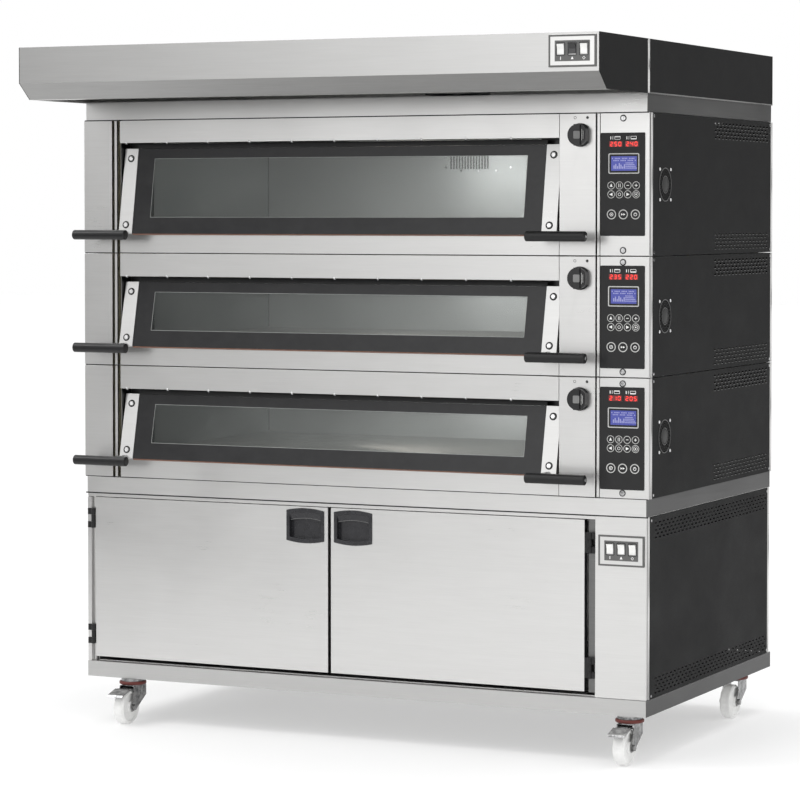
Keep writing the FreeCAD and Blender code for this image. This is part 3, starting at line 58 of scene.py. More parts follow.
# ---- materials ----------------------------------------------------------------------------------
class Finish:
    """A Principled material with short ways to add procedural variation to it."""

    def __init__(self, name, colour, metallic=0.0, roughness=0.5, specular=0.5, coat=0.0):
        self.material = bpy.data.materials.new(name)
        self.material.use_nodes = True
        self.tree = self.material.node_tree
        self.shader = self.tree.nodes["Principled BSDF"]
        self.shader.inputs["Base Color"].default_value = (*colour, 1)
        self.shader.inputs["Metallic"].default_value = metallic
        self.shader.inputs["Roughness"].default_value = roughness
        self.shader.inputs["Specular IOR Level"].default_value = specular
        self.shader.inputs["Coat Weight"].default_value = coat
        self.shader.inputs["Coat Roughness"].default_value = 0.1
        self.coordinate = self.tree.nodes.new("ShaderNodeTexCoord").outputs["Object"]
        self.height = None

    def link(self, source, target):
        self.tree.links.new(source, target)

    def noise(self, stretch, detail=3.0, roughness=0.55, distortion=0.0):
        """Noise with so many cycles a metre along each axis."""
        mapping = self.tree.nodes.new("ShaderNodeMapping")
        mapping.inputs["Scale"].default_value = stretch
        self.link(self.coordinate, mapping.inputs["Vector"])
        texture = self.tree.nodes.new("ShaderNodeTexNoise")
        texture.inputs["Scale"].default_value = 1.0
        texture.inputs["Detail"].default_value = detail
        texture.inputs["Roughness"].default_value = roughness
        texture.inputs["Distortion"].default_value = distortion
        self.link(mapping.outputs["Vector"], texture.inputs["Vector"])
        return texture.outputs["Fac"]

    def place(self):
        """Outputs X, Y and Z, in metres."""
        split = self.tree.nodes.new("ShaderNodeSeparateXYZ")
        self.link(self.coordinate, split.inputs[0])
        return split.outputs

    def cells(self, scale):
        """Distance to the nearest cell edge, with so many cells a metre."""
        texture = self.tree.nodes.new("ShaderNodeTexVoronoi")
        texture.feature = "DISTANCE_TO_EDGE"
        texture.inputs["Scale"].default_value = scale
        self.link(self.coordinate, texture.inputs["Vector"])
        return texture.outputs["Distance"]

    def spread(self, source, low, high, at_low=0.3, at_high=0.7):
        """Remaps a factor to a range of values."""
        remap = self.tree.nodes.new("ShaderNodeMapRange")
        remap.inputs["From Min"].default_value = at_low
        remap.inputs["From Max"].default_value = at_high
        remap.inputs["To Min"].default_value = low
        remap.inputs["To Max"].default_value = high
        self.link(source, remap.inputs["Value"])
        return remap.outputs["Result"]

    def combine(self, operation, first, second):
        node = self.tree.nodes.new("ShaderNodeMath")
        node.operation = operation
        self.link(first, node.inputs[0])
        if isinstance(second, float):
            node.inputs[1].default_value = second
        else:
            self.link(second, node.inputs[1])
        return node.outputs[0]

    def tint(self, factor, dark, light):
        """Base colour between two colours."""
        mix = self.tree.nodes.new("ShaderNodeMix")
        mix.data_type = "RGBA"
        mix.inputs["A"].default_value = (*dark, 1)
        mix.inputs["B"].default_value = (*light, 1)
        self.link(factor, mix.inputs["Factor"])
        self.link(mix.outputs["Result"], self.shader.inputs["Base Color"])
        return self

    def matt(self, factor, low, high):
        """Roughness between two values."""
        self.link(self.spread(factor, low, high), self.shader.inputs["Roughness"])
        return self

    def bump(self, height, depth, strength=1.0):
        """Relief of a given depth in metres."""
        node = self.tree.nodes.new("ShaderNodeBump")
        node.inputs["Strength"].default_value = strength
        node.inputs["Distance"].default_value = depth
        self.link(height, node.inputs["Height"])
        if self.height is not None:
            self.link(self.height, node.inputs["Normal"])
        self.height = node.outputs["Normal"]
        self.link(self.height, self.shader.inputs["Normal"])
        return self


def shaded(colour, factor, lift=0.0):
    return tuple(c * factor + lift for c in colour)


def brushed_steel(name, dark, light, roughness, along=(9.0, 9.0, 330.0), wave=0.0004):
    """Brushed sheet: fine grain, faint streaks, and soft smears in the polish."""
    finish = Finish(name, light, metallic=1.0, roughness=roughness)
    grain = finish.noise(along, detail=3.0, roughness=0.6)
    streaks = finish.noise((along[0] * 0.5, along[1] * 0.5, along[2] * 0.25), detail=3.0, roughness=0.6)
    smears = finish.noise((2.5, 2.5, 3.0), detail=3.0, distortion=0.4)
    lines = finish.combine("ADD", finish.spread(streaks, 0.0, 0.3), finish.spread(grain, 0.0, 0.45))
    finish.tint(finish.combine("ADD", lines, finish.spread(smears, 0.0, 0.25)), dark, light)
    fine, broad = finish.combine("MULTIPLY", grain, 0.4), finish.combine("MULTIPLY", smears, 0.6)
    polish = finish.combine("ADD", fine, broad)
    finish.matt(polish, roughness - 0.04, roughness + 0.06)
    return finish.bump(grain, 0.00002).bump(smears, wave, 0.35).material


def powder_coat(name, colour, roughness):
    """Fine-textured paint with faint dust and rubbed areas."""
    finish = Finish(name, colour, roughness=roughness, specular=0.045)
    texture = finish.noise((900.0, 900.0, 900.0), detail=2.0)
    dust = finish.noise((5.0, 5.0, 7.0), detail=5.0, roughness=0.65)
    finish.tint(finish.spread(dust, 0.0, 1.0), shaded(colour, 0.9), shaded(colour, 1.15, 0.001))
    finish.matt(dust, roughness - 0.06, roughness + 0.08)
    return finish.bump(texture, 0.00025, 0.6).bump(dust, 0.0006, 0.15).material


def moulded(name, colour, roughness, grain=0.0001, coat=0.0, scale=1400.0, specular=0.4):
    """Moulded plastic with a spark-eroded grain and handling marks."""
    finish = Finish(name, colour, roughness=roughness, coat=coat, specular=specular)
    texture = finish.noise((scale, scale, scale), detail=2.0)
    marks = finish.noise((40.0, 40.0, 40.0), detail=4.0, roughness=0.6)
    finish.tint(finish.spread(marks, 0.0, 1.0), shaded(colour, 0.92), shaded(colour, 1.08, 0.001))
    finish.matt(marks, max(0.05, roughness - 0.04), roughness + 0.05)
    return finish.bump(texture, grain, 0.5).material


def plated(name, dark, light, roughness):
    """Zinc or chrome plating with a cloudy bloom."""
    finish = Finish(name, light, metallic=1.0, roughness=roughness)
    bloom = finish.noise((60.0, 60.0, 60.0), detail=5.0, roughness=0.7)
    finish.tint(finish.spread(bloom, 0.0, 1.0), dark, light)
    finish.matt(bloom, roughness - 0.05, roughness + 0.12)
    return finish.bump(bloom, 0.0002, 0.3).material


def oxidised(name, dark, light, roughness):
    """Heat-tinted metal."""
    finish = Finish(name, dark, metallic=0.9, roughness=roughness)
    clouds = finish.noise((12.0, 12.0, 12.0), detail=6.0, roughness=0.7, distortion=0.8)
    fine = finish.noise((400.0, 400.0, 400.0), detail=2.0)
    finish.tint(finish.spread(clouds, 0.0, 1.0), dark, light)
    finish.matt(clouds, roughness - 0.08, roughness + 0.1)
    return finish.bump(fine, 0.0002, 0.4).material


def sawn_stone(name):
    finish = Finish(name, (0.5, 0.47, 0.41), roughness=0.85, specular=0.25)
    blotches = finish.noise((18.0, 18.0, 18.0), detail=6.0, roughness=0.7)
    grit = finish.noise((900.0, 900.0, 900.0), detail=3.0)
    pores = finish.cells(260.0)
    shade = finish.combine("ADD", finish.spread(blotches, 0.0, 0.7), finish.spread(grit, 0.0, 0.3))
    finish.tint(shade, (0.36, 0.33, 0.28), (0.62, 0.59, 0.53))
    finish.matt(blotches, 0.78, 0.95)
    return finish.bump(grit, 0.0005, 0.5).bump(pores, 0.0004, 0.3).material


def fibrous_wool(name):
    finish = Finish(name, (0.5, 0.46, 0.33), roughness=0.95, specular=0.2)
    strands = finish.noise((60.0, 500.0, 500.0), detail=5.0, roughness=0.7, distortion=2.0)
    finish.tint(finish.spread(strands, 0.0, 1.0), (0.36, 0.32, 0.2), (0.62, 0.58, 0.44))
    return finish.bump(strands, 0.002, 0.8).material


def window_glass(name):
    """Coated oven glass: a thin film of steam marks over painted light that brightens the glass to the right.
    """
    finish = Finish(name, (0.05, 0.055, 0.052), roughness=0.04, specular=0.6, coat=0.1)
    film = finish.noise((6.0, 6.0, 9.0), detail=5.0, roughness=0.6)
    # painted light: the glass's colour gets lighter towards the right
    rightward_painted_light = finish.spread(finish.place()["X"], 0.0, 0.72, -0.6, 0.2)
    film_and_painted_light = finish.combine("ADD", rightward_painted_light, finish.spread(film, 0.0, 0.15))
    finish.tint(film_and_painted_light, (0.017, 0.021, 0.02), (0.36, 0.382, 0.366))
    finish.matt(film, 0.03, 0.1)
    finish.shader.inputs["Alpha"].default_value = 0.32
    return finish.material


def fired_border(name):
    """Black ceramic print under polished glass."""
    finish = Finish(name, (0.02, 0.02, 0.021), roughness=0.12, specular=0.24)
    smudge = finish.noise((14.0, 14.0, 20.0), detail=5.0, roughness=0.65)
    finish.tint(finish.spread(smudge, 0.0, 1.0), (0.016, 0.016, 0.017), (0.024, 0.024, 0.025))
    return finish.matt(smudge, 0.08, 0.22).material


def lit(name, colour, strength, base=(0.02, 0.02, 0.02)):
    """Backlit display element with slight unevenness behind a satin window."""
    finish = Finish(name, base, roughness=0.3)
    glow = finish.noise((90.0, 90.0, 90.0), detail=3.0)
    finish.tint(finish.spread(glow, 0.0, 1.0), shaded(base, 0.6), base)
    finish.matt(glow, 0.22, 0.36)
    finish.shader.inputs["Emission Color"].default_value = (*colour, 1)
    finish.shader.inputs["Emission Strength"].default_value = strength
    return finish.material


LINER_GRAIN = (6.0, 6.0, 160.0)          # cycles a metre
FINISHES = {
    "stainless": brushed_steel("stainless", (0.585, 0.582, 0.574), (0.64, 0.637, 0.629), 0.3),
    "liner_steel": brushed_steel(
        "liner_steel", (0.42, 0.44, 0.43), (0.48, 0.5, 0.49), 0.4, LINER_GRAIN, 0.0001
    ),
    "charcoal_paint": powder_coat("charcoal_paint", (0.0115, 0.0116, 0.0118), 0.5),
    "door_glass": window_glass("door_glass"),
    "handle_black": moulded("handle_black", (0.01, 0.01, 0.0105), 0.36, grain=0.00015, specular=0.3),
    "knob_black": moulded("knob_black", (0.011, 0.011, 0.012), 0.3, coat=0.1, specular=0.35),
    "panel_black": moulded("panel_black", (0.012, 0.012, 0.0125), 0.38, 0.00005, scale=2500.0, specular=0.3),
    "stone": sawn_stone("stone"),
    "heater_steel": oxidised("heater_steel", (0.13, 0.11, 0.1), (0.3, 0.26, 0.22), 0.5),
    "mineral_wool": fibrous_wool("mineral_wool"),
    "galvanised": plated("galvanised", (0.42, 0.43, 0.44), (0.62, 0.63, 0.64), 0.38),
    "zinc": plated("zinc", (0.1, 0.1, 0.105), (0.6, 0.6, 0.6), 0.14),
    "wheel_white": moulded("wheel_white", (0.8, 0.8, 0.79), 0.35),
    "rocker_white": moulded("rocker_white", (0.84, 0.84, 0.82), 0.25, coat=0.3),
    "rocker_black": moulded("rocker_black", (0.02, 0.02, 0.021), 0.25, coat=0.3),
    "pull_black": moulded("pull_black", (0.014, 0.014, 0.017), 0.26, specular=0.5),
    "fan_black": moulded("fan_black", (0.02, 0.02, 0.02), 0.45, specular=0.3),
}
# Darker copies of the stainless steel: painted shade for the sides, jamb, reveals, base front, right door
# arms and hood.
SHADED_STEEL = brushed_steel("shaded_steel", (0.13, 0.13, 0.129), (0.17, 0.17, 0.168), 0.34)
DEEP_SHADE_STEEL = brushed_steel("dark_steel", (0.045, 0.045, 0.045), (0.06, 0.06, 0.06), 0.34)
SOFT_SHADE_STEEL = brushed_steel("base_steel", (0.45, 0.449, 0.443), (0.5, 0.498, 0.492), 0.3)
HOOD_SHADE_STEEL = brushed_steel("hood_steel", (0.475, 0.473, 0.467), (0.525, 0.523, 0.517), 0.3)
BEVEL_SHADE_STEEL = brushed_steel("bevel_steel", (0.28, 0.279, 0.275), (0.33, 0.329, 0.325), 0.3)
CASTOR_STEEL = plated("castor_steel", (0.025, 0.025, 0.027), (0.42, 0.42, 0.42), 0.14)
CUT_EDGE = plated("cut_edge", (0.6, 0.6, 0.6), (0.85, 0.85, 0.85), 0.3)
# painted highlight on the lower lips of the side vents
VENT_GLINT = moulded("vent_lip", (0.16, 0.16, 0.158), 0.4)
FAN_TRIM = moulded("fan_trim", (0.09, 0.09, 0.09), 0.35)
FIRED_BORDER = fired_border("fired_border")
WINDOW_LINE = moulded("window_line", (0.3, 0.31, 0.3), 0.3)
RED_SEAL = moulded("red_seal", (0.11, 0.019, 0.014), 0.5, grain=0.0002)
DOOR_SEAL = moulded("door_seal", (0.17, 0.075, 0.045), 0.5, grain=0.0002)
# print and the screen frame, and painted highlight lines on the knobs
PRINT_AND_HIGHLIGHT_GREY = moulded("print_grey", (0.52, 0.52, 0.51), 0.45, grain=0.00003)
PRINT_WHITE = moulded("print_white", (0.85, 0.85, 0.84), 0.45, grain=0.00003)
# print and the chamber's corner strip, and painted shadow in the outlet slots
PRINT_AND_SHADOW_DARK = moulded("print_dark", (0.03, 0.03, 0.03), 0.5, grain=0.00003)
LABEL_GREY = moulded("label_grey", (0.11, 0.11, 0.108), 0.4, grain=0.00005)
# knob inlays, and a painted highlight on the pull lips
MARK_AND_HIGHLIGHT_GREY = moulded("button_mark", (0.2, 0.2, 0.198), 0.4, grain=0.00003)
LED_RED = lit("led_red", (1.0, 0.03, 0.02), 1.6)
LED_BACK = lit("led_back", (0.5, 0.01, 0.01), 0.35)
LCD_BLUE = lit("lcd_blue", (0.07, 0.09, 0.5), 0.72)
LCD_PALE = lit("lcd_pale", (0.42, 0.43, 0.8), 0.76)


# ---- mesh helpers -------------------------------------------------------------------------------
def rounded_loop(width, height, radius, steps=5):
    """Points of a rectangle with round corners, in its own plane, middle at 0."""
    radius = min(radius, width / 2, height / 2)
    points = []
    for quarter, (sx, sy) in enumerate(((1, 1), (-1, 1), (-1, -1), (1, -1))):
        corner = Vector((sx * (width / 2 - radius), sy * (height / 2 - radius)))
        for step in range(steps + 1):
            turn = math.radians(90 * (quarter + step / steps))
            points.append(corner + radius * Vector((math.cos(turn), math.sin(turn))))
    return points


def round_loop(radius, steps=32):
    turns = [2 * math.pi * i / steps for i in range(steps)]
    return [radius * Vector((math.cos(turn), math.sin(turn))) for turn in turns]


def box_loop(x0, x1, z0, z1):
    return [Vector((x0, z0)), Vector((x1, z0)), Vector((x1, z1)), Vector((x0, z1))]


def triangle(size, turn):
    points = [Vector((size, 0)), Vector((-size * 0.7, size * 0.85)), Vector((-size * 0.7, -size * 0.85))]
    c, s = math.cos(turn), math.sin(turn)
    return [Vector((p.x * c - p.y * s, p.x * s + p.y * c)) for p in points]


class Plane:
    """A flat place on the oven, with its middle in metres.

    Places and sizes on it are millimetres along its width, its height, and outward.
    """

    def __init__(self, middle, across=X_AXIS, up=Z_AXIS):
        self.middle = Vector(middle)
        self.across = Vector(across).normalized()
        self.up = Vector(up).normalized()
        self.out = self.across.cross(self.up)

    def at(self, point, raised=0.0):
        return self.middle + (self.across * point[0] + self.up * point[1] + self.out * raised) * MM

    def moved(self, a, b, raised=0.0):
        return Plane(self.at((a, b), raised), self.across, self.up)


def skin(bm, rows):
    """Quads between closed rows of points, each row joined to the next."""
    for first, second in zip(rows, rows[1:]):
        for i in range(len(first)):
            j = (i + 1) % len(first)
            bm.faces.new((first[i], first[j], second[j], second[i]))


def capped(bm, rows):
    skin(bm, rows)
    bm.faces.new(rows[-1])
    bm.faces.new(list(reversed(rows[0])))


def slab(bm, plane, outline, low, high, edge=0.0):
    """Solid plate with a given outline and a small chamfer round its raised face."""
    middle = sum(outline, Vector((0, 0))) / len(outline)
    rings = [(1.0, low), (1.0, high - edge)]
    if edge:
        span = max((p - middle).length for p in outline)
        rings.append((1.0 - edge / span, high))
    capped(bm, [[bm.verts.new(plane.at(middle + (p - middle) * k, h)) for p in outline] for k, h in rings])


def border(bm, plane, outer, inner, low, high):
    """Solid frame between two outlines with the same number of points."""
    corners = ((outer, low), (outer, high), (inner, high), (inner, low))
    rows = [[bm.verts.new(plane.at(p, h)) for p in outline] for outline, h in corners]
    skin(bm, rows + rows[:1])


def ring(bm, plane, radius, width, low, high, steps=32):
    border(bm, plane, round_loop(radius, steps), round_loop(radius - width, steps), low, high)


def revolved(bm, plane, section, steps):
    """Closed ring whose section is given as pairs of radius and height."""
    rows = []
    for radius, raised in section:
        rows.append([bm.verts.new(plane.at(p, raised)) for p in round_loop(radius, steps)])
    skin(bm, rows + rows[:1])


def wire_ring(bm, plane, radius, thickness, raised, steps):
    """Torus lying in a plane."""
    revolved(bm, plane, [(radius + p.x, raised + p.y) for p in round_loop(thickness / 2, 8)], steps)


def dome(bm, plane, radius, height, steps=24, rings=5):
    """Round button head standing on a plane."""
    rows = []
    for k in range(rings + 1):
        lean = math.radians(90 * k / (rings + 1))
        reach, rise = radius * math.cos(lean), height * math.sin(lean)
        rows.append([bm.verts.new(plane.at(p, rise)) for p in round_loop(reach, steps)])
    capped(bm, rows)


def stroke(bm, plane, start, end, width, low, high):
    """Straight printed or raised bar between two points of a plane."""
    start, end = Vector(start), Vector(end)
    along = (end - start).normalized() * width / 2
    side = Vector((-along.y, along.x))
    slab(bm, plane, [start - side, end - side, end + side, start + side], low, high)


def piece(name, bm, body, material, smooth=False):
    """Turns a bmesh into an object that rides on a body."""
    bmesh.ops.recalc_face_normals(bm, faces=bm.faces)
    mesh = bpy.data.meshes.new(name)
    bm.to_mesh(mesh)
    bm.free()
    for polygon in mesh.polygons:
        polygon.use_smooth = smooth
    mesh.materials.append(material)
    made = bpy.data.objects.new(name, mesh)
    bpy.context.scene.collection.objects.link(made)
    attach(made, body)


# ---- the carried-over nodes ---------------------------------------------------------------------
def dress_nodes():
    """Gives every CAD node the procedural finish of its material slot."""
    for name, node in nodes.items():
        castor = name == "castor_heads" or name.endswith(("_castor_fork", "_brake_pedal"))
        for place in node.material_slots:
            slot = place.material.name.split(".")[0] if place.material else "stainless"
            place.material = CASTOR_STEEL if castor else FINISHES.get(slot, FINISHES["stainless"])


def ease_edges(name, width=0.8):
    """Folds in sheet metal have a small radius, which catches the light."""
    node = nodes[name]
    weld = node.modifiers.new("weld", "WELD")
    weld.merge_threshold = 0.01 * MM
    bevel = node.modifiers.new("fold", "BEVEL")
    bevel.width = width * MM
    bevel.segments = 2
    bevel.limit_method = "ANGLE"
    bevel.angle_limit = math.radians(40)


def repaint(name, material, chosen):
    """Gives the chosen faces of a node another finish."""
    mesh = nodes[name].data
    mesh.materials.append(material)
    index = len(mesh.materials) - 1
    for polygon in mesh.polygons:
        if chosen(polygon.center, polygon.normal):
            polygon.material_index = index


def paint_hood():
    """The end plates are painted. The front and its sloping edge carry painted shade: darker steel than the
    rest.
    """
    low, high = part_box("hood_canopy")
    end = high.x - 1.5 * MM
    face = low.y + 2 * MM
    repaint("hood_canopy", FINISHES["charcoal_paint"], lambda c, n: abs(c.x) > end)
    repaint("hood_canopy", BEVEL_SHADE_STEEL, lambda c, n: abs(c.x) < end and n.z < -0.2 and n.y < -0.2)
    repaint("hood_canopy", HOOD_SHADE_STEEL, lambda c, n: abs(c.x) < end and n.y < -0.9 and c.y < face)


def paint_sides():
    """Painted shade darkens the steel on the sides, deepest below the decks, and lighter on the base's front.
    """
    low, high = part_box("frame_bands")
    end = high.x - 0.5 * MM
    face = low.y + 3 * MM
    stand_top = DECK_BOX["lower"][1].z
    repaint("frame_bands", SHADED_STEEL, lambda c, n: abs(c.x) > end and abs(n.x) > 0.9 and c.z > stand_top)
    repaint("base_frame", SOFT_SHADE_STEEL, lambda c, n: n.y < -0.9 and c.y < face)
    for name in ("frame_bands", "base_frame"):
        repaint(name, DEEP_SHADE_STEEL, lambda c, n: abs(c.x) > end and abs(n.x) > 0.9 and c.z < stand_top)


def paint_openings():
    """Painted shade on the reveals and chamber mouths round the deck openings."""
    reveal = FRONT + 9 * MM
    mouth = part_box("upper_chamber_liner")[0].y + 1.9 * MM
    for deck in DECKS:
        repaint(deck + "_front_panels", DEEP_SHADE_STEEL, lambda c, n: c.y > reveal)
        repaint(deck + "_chamber_liner", DEEP_SHADE_STEEL, lambda c, n: c.y < mouth and n.y < -0.5)


def paint_hinges():
    """The moving leaves of the cabinet hinges are black like the fixed ones."""
    left_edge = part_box("cabinet_left_door")[0].x + 14.5 * MM
    right_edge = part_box("cabinet_right_door")[1].x - 22.5 * MM
    black = FINISHES["handle_black"]
    repaint("cabinet_left_door", black, lambda c, n: c.x < left_edge)
    repaint("cabinet_right_door", black, lambda c, n: c.x > right_edge)
    mesh = nodes["cabinet_hinges"].data
    for index in range(len(mesh.materials)):
        mesh.materials[index] = black


def paint_arms():
    """The right-hand door arms turn towards the light, so their steel carries painted shade."""
    for deck in DECKS:
        low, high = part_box(deck + "_door_frame")
        middle = (low.x + high.x) / 2
        repaint(deck + "_door_frame", SOFT_SHADE_STEEL, lambda c, n: c.x > middle and n.y < -0.5)


# ---- doors --------------------------------------------------------------------------------------
WINDOW_FOOT, WINDOW_HEAD, WINDOW_SIDE = 48, 29, 56       # black border below, over and beside a window
GLASS_IN_ARM = 8
ARM_WIDTH = 44
ARM_FACE = 3.0                # in front of the glass
DOOR_TOP_GAP = 17             # between the glass and the upper fascia


def glass_plane(deck):
    """The outer face of a leaning door glass, its middle at the foot, and its slope length and width."""
    points = [v.co for v in nodes[deck + "_door_glass"].data.vertices]
    foot = min(points, key=lambda p: p.y)
    top = max(points, key=lambda p: p.z)
    low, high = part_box(deck + "_door_glass")
    up = Vector((0, top.y - foot.y, top.z - foot.z))
    plane = Plane(((low.x + high.x) / 2, foot.y, foot.z), X_AXIS, up)
    return plane, up.length / MM, (high.x - low.x) / MM


def door_window(deck, plane, length, visible):
    """Fired black border and the light line round the window."""
    window_width = visible - 2 * WINDOW_SIDE
    window_height = length - WINDOW_FOOT - WINDOW_HEAD
    centre = plane.moved(0, WINDOW_FOOT + window_height / 2)
    shift = length / 2 - WINDOW_FOOT - window_height / 2
    outer = [p + Vector((0, shift)) for p in rounded_loop(visible, length - 1, 1)]
    inner = rounded_loop(window_width, window_height, 1.5)
    frit = bmesh.new()
    border(frit, centre, outer, inner, 0.05, 0.35)
    piece(deck + "_door_border", frit, deck + "_door", FIRED_BORDER)
    edge = bmesh.new()
    border(edge, centre, inner, rounded_loop(window_width - 2.4, window_height - 2.4, 1), 0.05, 0.3)
    piece(deck + "_window_outline", edge, deck + "_door", WINDOW_LINE)


def door_bolts(deck, plane, length, width):
    """Black rings of painted shadow round the bright six-sided heads on both arms."""
    shadow_rings = bmesh.new()
    heads = bmesh.new()
    reach = width / 2 - GLASS_IN_ARM + ARM_WIDTH / 2
    for side in (-1, 1):
        for height in (26, length - 29):
            place = plane.moved(side * reach, height, ARM_FACE)
            ring(shadow_rings, place, 10.8, 4, 0, 0.5)
            slab(heads, place, round_loop(7.2, 6), 0, 3.6, 1.2)
    piece(deck + "_bolt_washers", shadow_rings, deck + "_door", FINISHES["handle_black"])
    piece(deck + "_bolt_heads", heads, deck + "_door", CUT_EDGE)


def door_trim(deck):
    """Border, window line, seals and bolts of one door."""
    plane, length, width = glass_plane(deck)
    visible = width - 2 * GLASS_IN_ARM
    door_window(deck, plane, length, visible)
    seal = bmesh.new()
    slab(seal, plane.moved(0, -1.2, -4), rounded_loop(visible, 2.4, 1.2), -3.5, 4.5, 0.4)
    piece(deck + "_door_seal", seal, deck + "_door", DOOR_SEAL)
    bolts = (ARM_FACE + 0.3) * MM
    repaint(deck + "_door_frame", FINISHES["zinc"], lambda c, n: (c - plane.middle).dot(plane.out) > bolts)
    door_bolts(deck, plane, length, width)
    strip = bmesh.new()
    slab(strip, plane.moved(0, length + 7.5), rounded_loop(visible, 14, 1), -3.5, -0.2, 0.4)
    piece(deck + "_door_top_seal", strip, deck + "_door", FINISHES["handle_black"])


# ---- chambers -----------------------------------------------------------------------------------
CEILING_FROM_TOP = 60         # of the deck
BACK_WALL = 769.8             # face of the back wall behind the oven front
CHAMBER_JOINT = 613.5         # joint of the left and back walls, from the chamber's middle
CHAMBER_FLOOR = 90            # a little over the stones, above the deck's lower edge
OUTLET_SLOTS, OUTLET_PITCH, OUTLET_START, OUTLET_DROP = 14, 9.4, 16.3, 56


def chamber_marks(deck):
    """Middle, oven front and ceiling height of a baking chamber."""
    low, high = DECK_BOX[deck]
    return glass_plane(deck)[0].middle.x, low.y, high.z - CEILING_FROM_TOP * MM


def chamber_details(deck):
    """Dark strip down the joint of the left and back walls, and painted shadow in the outlet slots of the
    tall chamber.
    """
    centre, front, ceiling = chamber_marks(deck)
    height = (ceiling - DECK_BOX[deck][0].z) / MM - CHAMBER_FLOOR
    wall = Plane((centre, front + BACK_WALL * MM, ceiling))
    joint_and_slot_shadow = bmesh.new()
    slab(joint_and_slot_shadow, wall.moved(-CHAMBER_JOINT, -height / 2), rounded_loop(3, height, 0.5, 2), -0.1, 0.3)
    # painted shadow: dark patches where the outlet slots are
    if deck == "upper":
        for step in range(OUTLET_SLOTS):
            slot = wall.moved(OUTLET_START + step * OUTLET_PITCH, -OUTLET_DROP)
            slab(joint_and_slot_shadow, slot, rounded_loop(5.4, 41, 1, 2), -0.1, 0.3)
    piece(deck + "_chamber_soot", joint_and_slot_shadow, "oven", PRINT_AND_SHADOW_DARK)


# ---- control panels -----------------------------------------------------------------------------
PANEL_TOP = 139               # half the panel height
SUNKEN = -0.78                # bottom of the display windows
PRINT = (0.05, 0.3)           # lower and upper face of printed marks
NUMBER_MIDDLES = (-20.5, 26.0)
NUMBERS = {"lower": ("210", "205"), "middle": ("235", "220"), "upper": ("250", "240")}
BAR_HEIGHTS = (9, 13, 7, 15, 11, 6, 12)
KEYS = [(x, z) for z in (-142, -166) for x in (-33, -9, 15, 39)]      # from the panel's middle and top
MODE_KEYS = [(x, -220) for x in (-32, 2, 37)]
SEGMENTS = {
    "0": "abcdef", "1": "bc", "2": "abged", "3": "abgcd", "4": "fgbc",
    "5": "afgcd", "6": "afgedc", "7": "abc", "8": "abcdefg", "9": "abcdfg",
}


def digit(bm, plane, figure, width, height, raised):
    """One seven-segment numeral."""
    w, h, t = width / 2, height / 2, width * 0.16
    ends = {
        "a": ((-w, h), (w, h)), "b": ((w, h), (w, 0)), "c": ((w, 0), (w, -h)), "d": ((-w, -h), (w, -h)),
        "e": ((-w, 0), (-w, -h)), "f": ((-w, h), (-w, 0)), "g": ((-w, 0), (w, 0)),
    }
    for name in SEGMENTS[figure]:
        start, end = (Vector(p) for p in ends[name])
        trim = (end - start).normalized() * t * 0.7
        stroke(bm, plane, start + trim, end - trim, t * 2, raised, raised + 0.25)


def number_display(deck, panel):
    """Two three-figure temperature displays in the sunken window."""
    back = bmesh.new()
    lights = bmesh.new()
    for middle, number in zip(NUMBER_MIDDLES, NUMBERS[deck]):
        place = panel.moved(middle, PANEL_TOP - 30.5, SUNKEN)
        slab(back, place, rounded_loop(38, 15, 1), 0.02, 0.25)
        for index, figure in enumerate(number):
            digit(lights, place.moved((index - 1) * 12, 0), figure, 6.5, 10.5, 0.25)
    piece(deck + "_number_back", back, "oven", LED_BACK)
    piece(deck + "_numbers", lights, "oven", LED_RED)


def screen_marks(bm, place):
    """A bar chart, a stepped pile of blocks, and two broken rows of blocks."""
    low, high = 0.3, 0.45
    for column, height in enumerate(BAR_HEIGHTS):
        x = column * 5 - 30
        slab(bm, place, box_loop(x, x + 3.2, -14, height - 14), low, high)
    for row in range(4):
        for column in range(10 - row):
            block = place.moved(6 + column * 3.3, row * 4.6 - 12.5)
            slab(bm, block, rounded_loop(2.6, 2.6, 0.4, 2), low, high)
    for row in range(2):
        for column in range(17):
            if (column * 7 + row * 3) % 5:
                block = place.moved(column * 4.1 - 33, 8 + row * 5.6)
                slab(bm, block, rounded_loop(2.8, 3, 0.4, 2), low, high)


def picture_display(deck, panel):
    """Backlit graphic display and its grey frame."""
    place = panel.moved(3.5, PANEL_TOP - 83, SUNKEN)
    screen = bmesh.new()
    slab(screen, place, rounded_loop(74, 39, 0.8), 0.02, 0.3)
    piece(deck + "_screen", screen, "oven", LCD_BLUE)
    content = bmesh.new()
    screen_marks(content, place)
    piece(deck + "_screen_content", content, "oven", LCD_PALE)
    surround = bmesh.new()
    border(surround, place, rounded_loop(89, 55, 4), rounded_loop(83.5, 49.5, 2.5), 0.8, 1.5)
    piece(deck + "_screen_frame", surround, "oven", PRINT_AND_HIGHLIGHT_GREY)


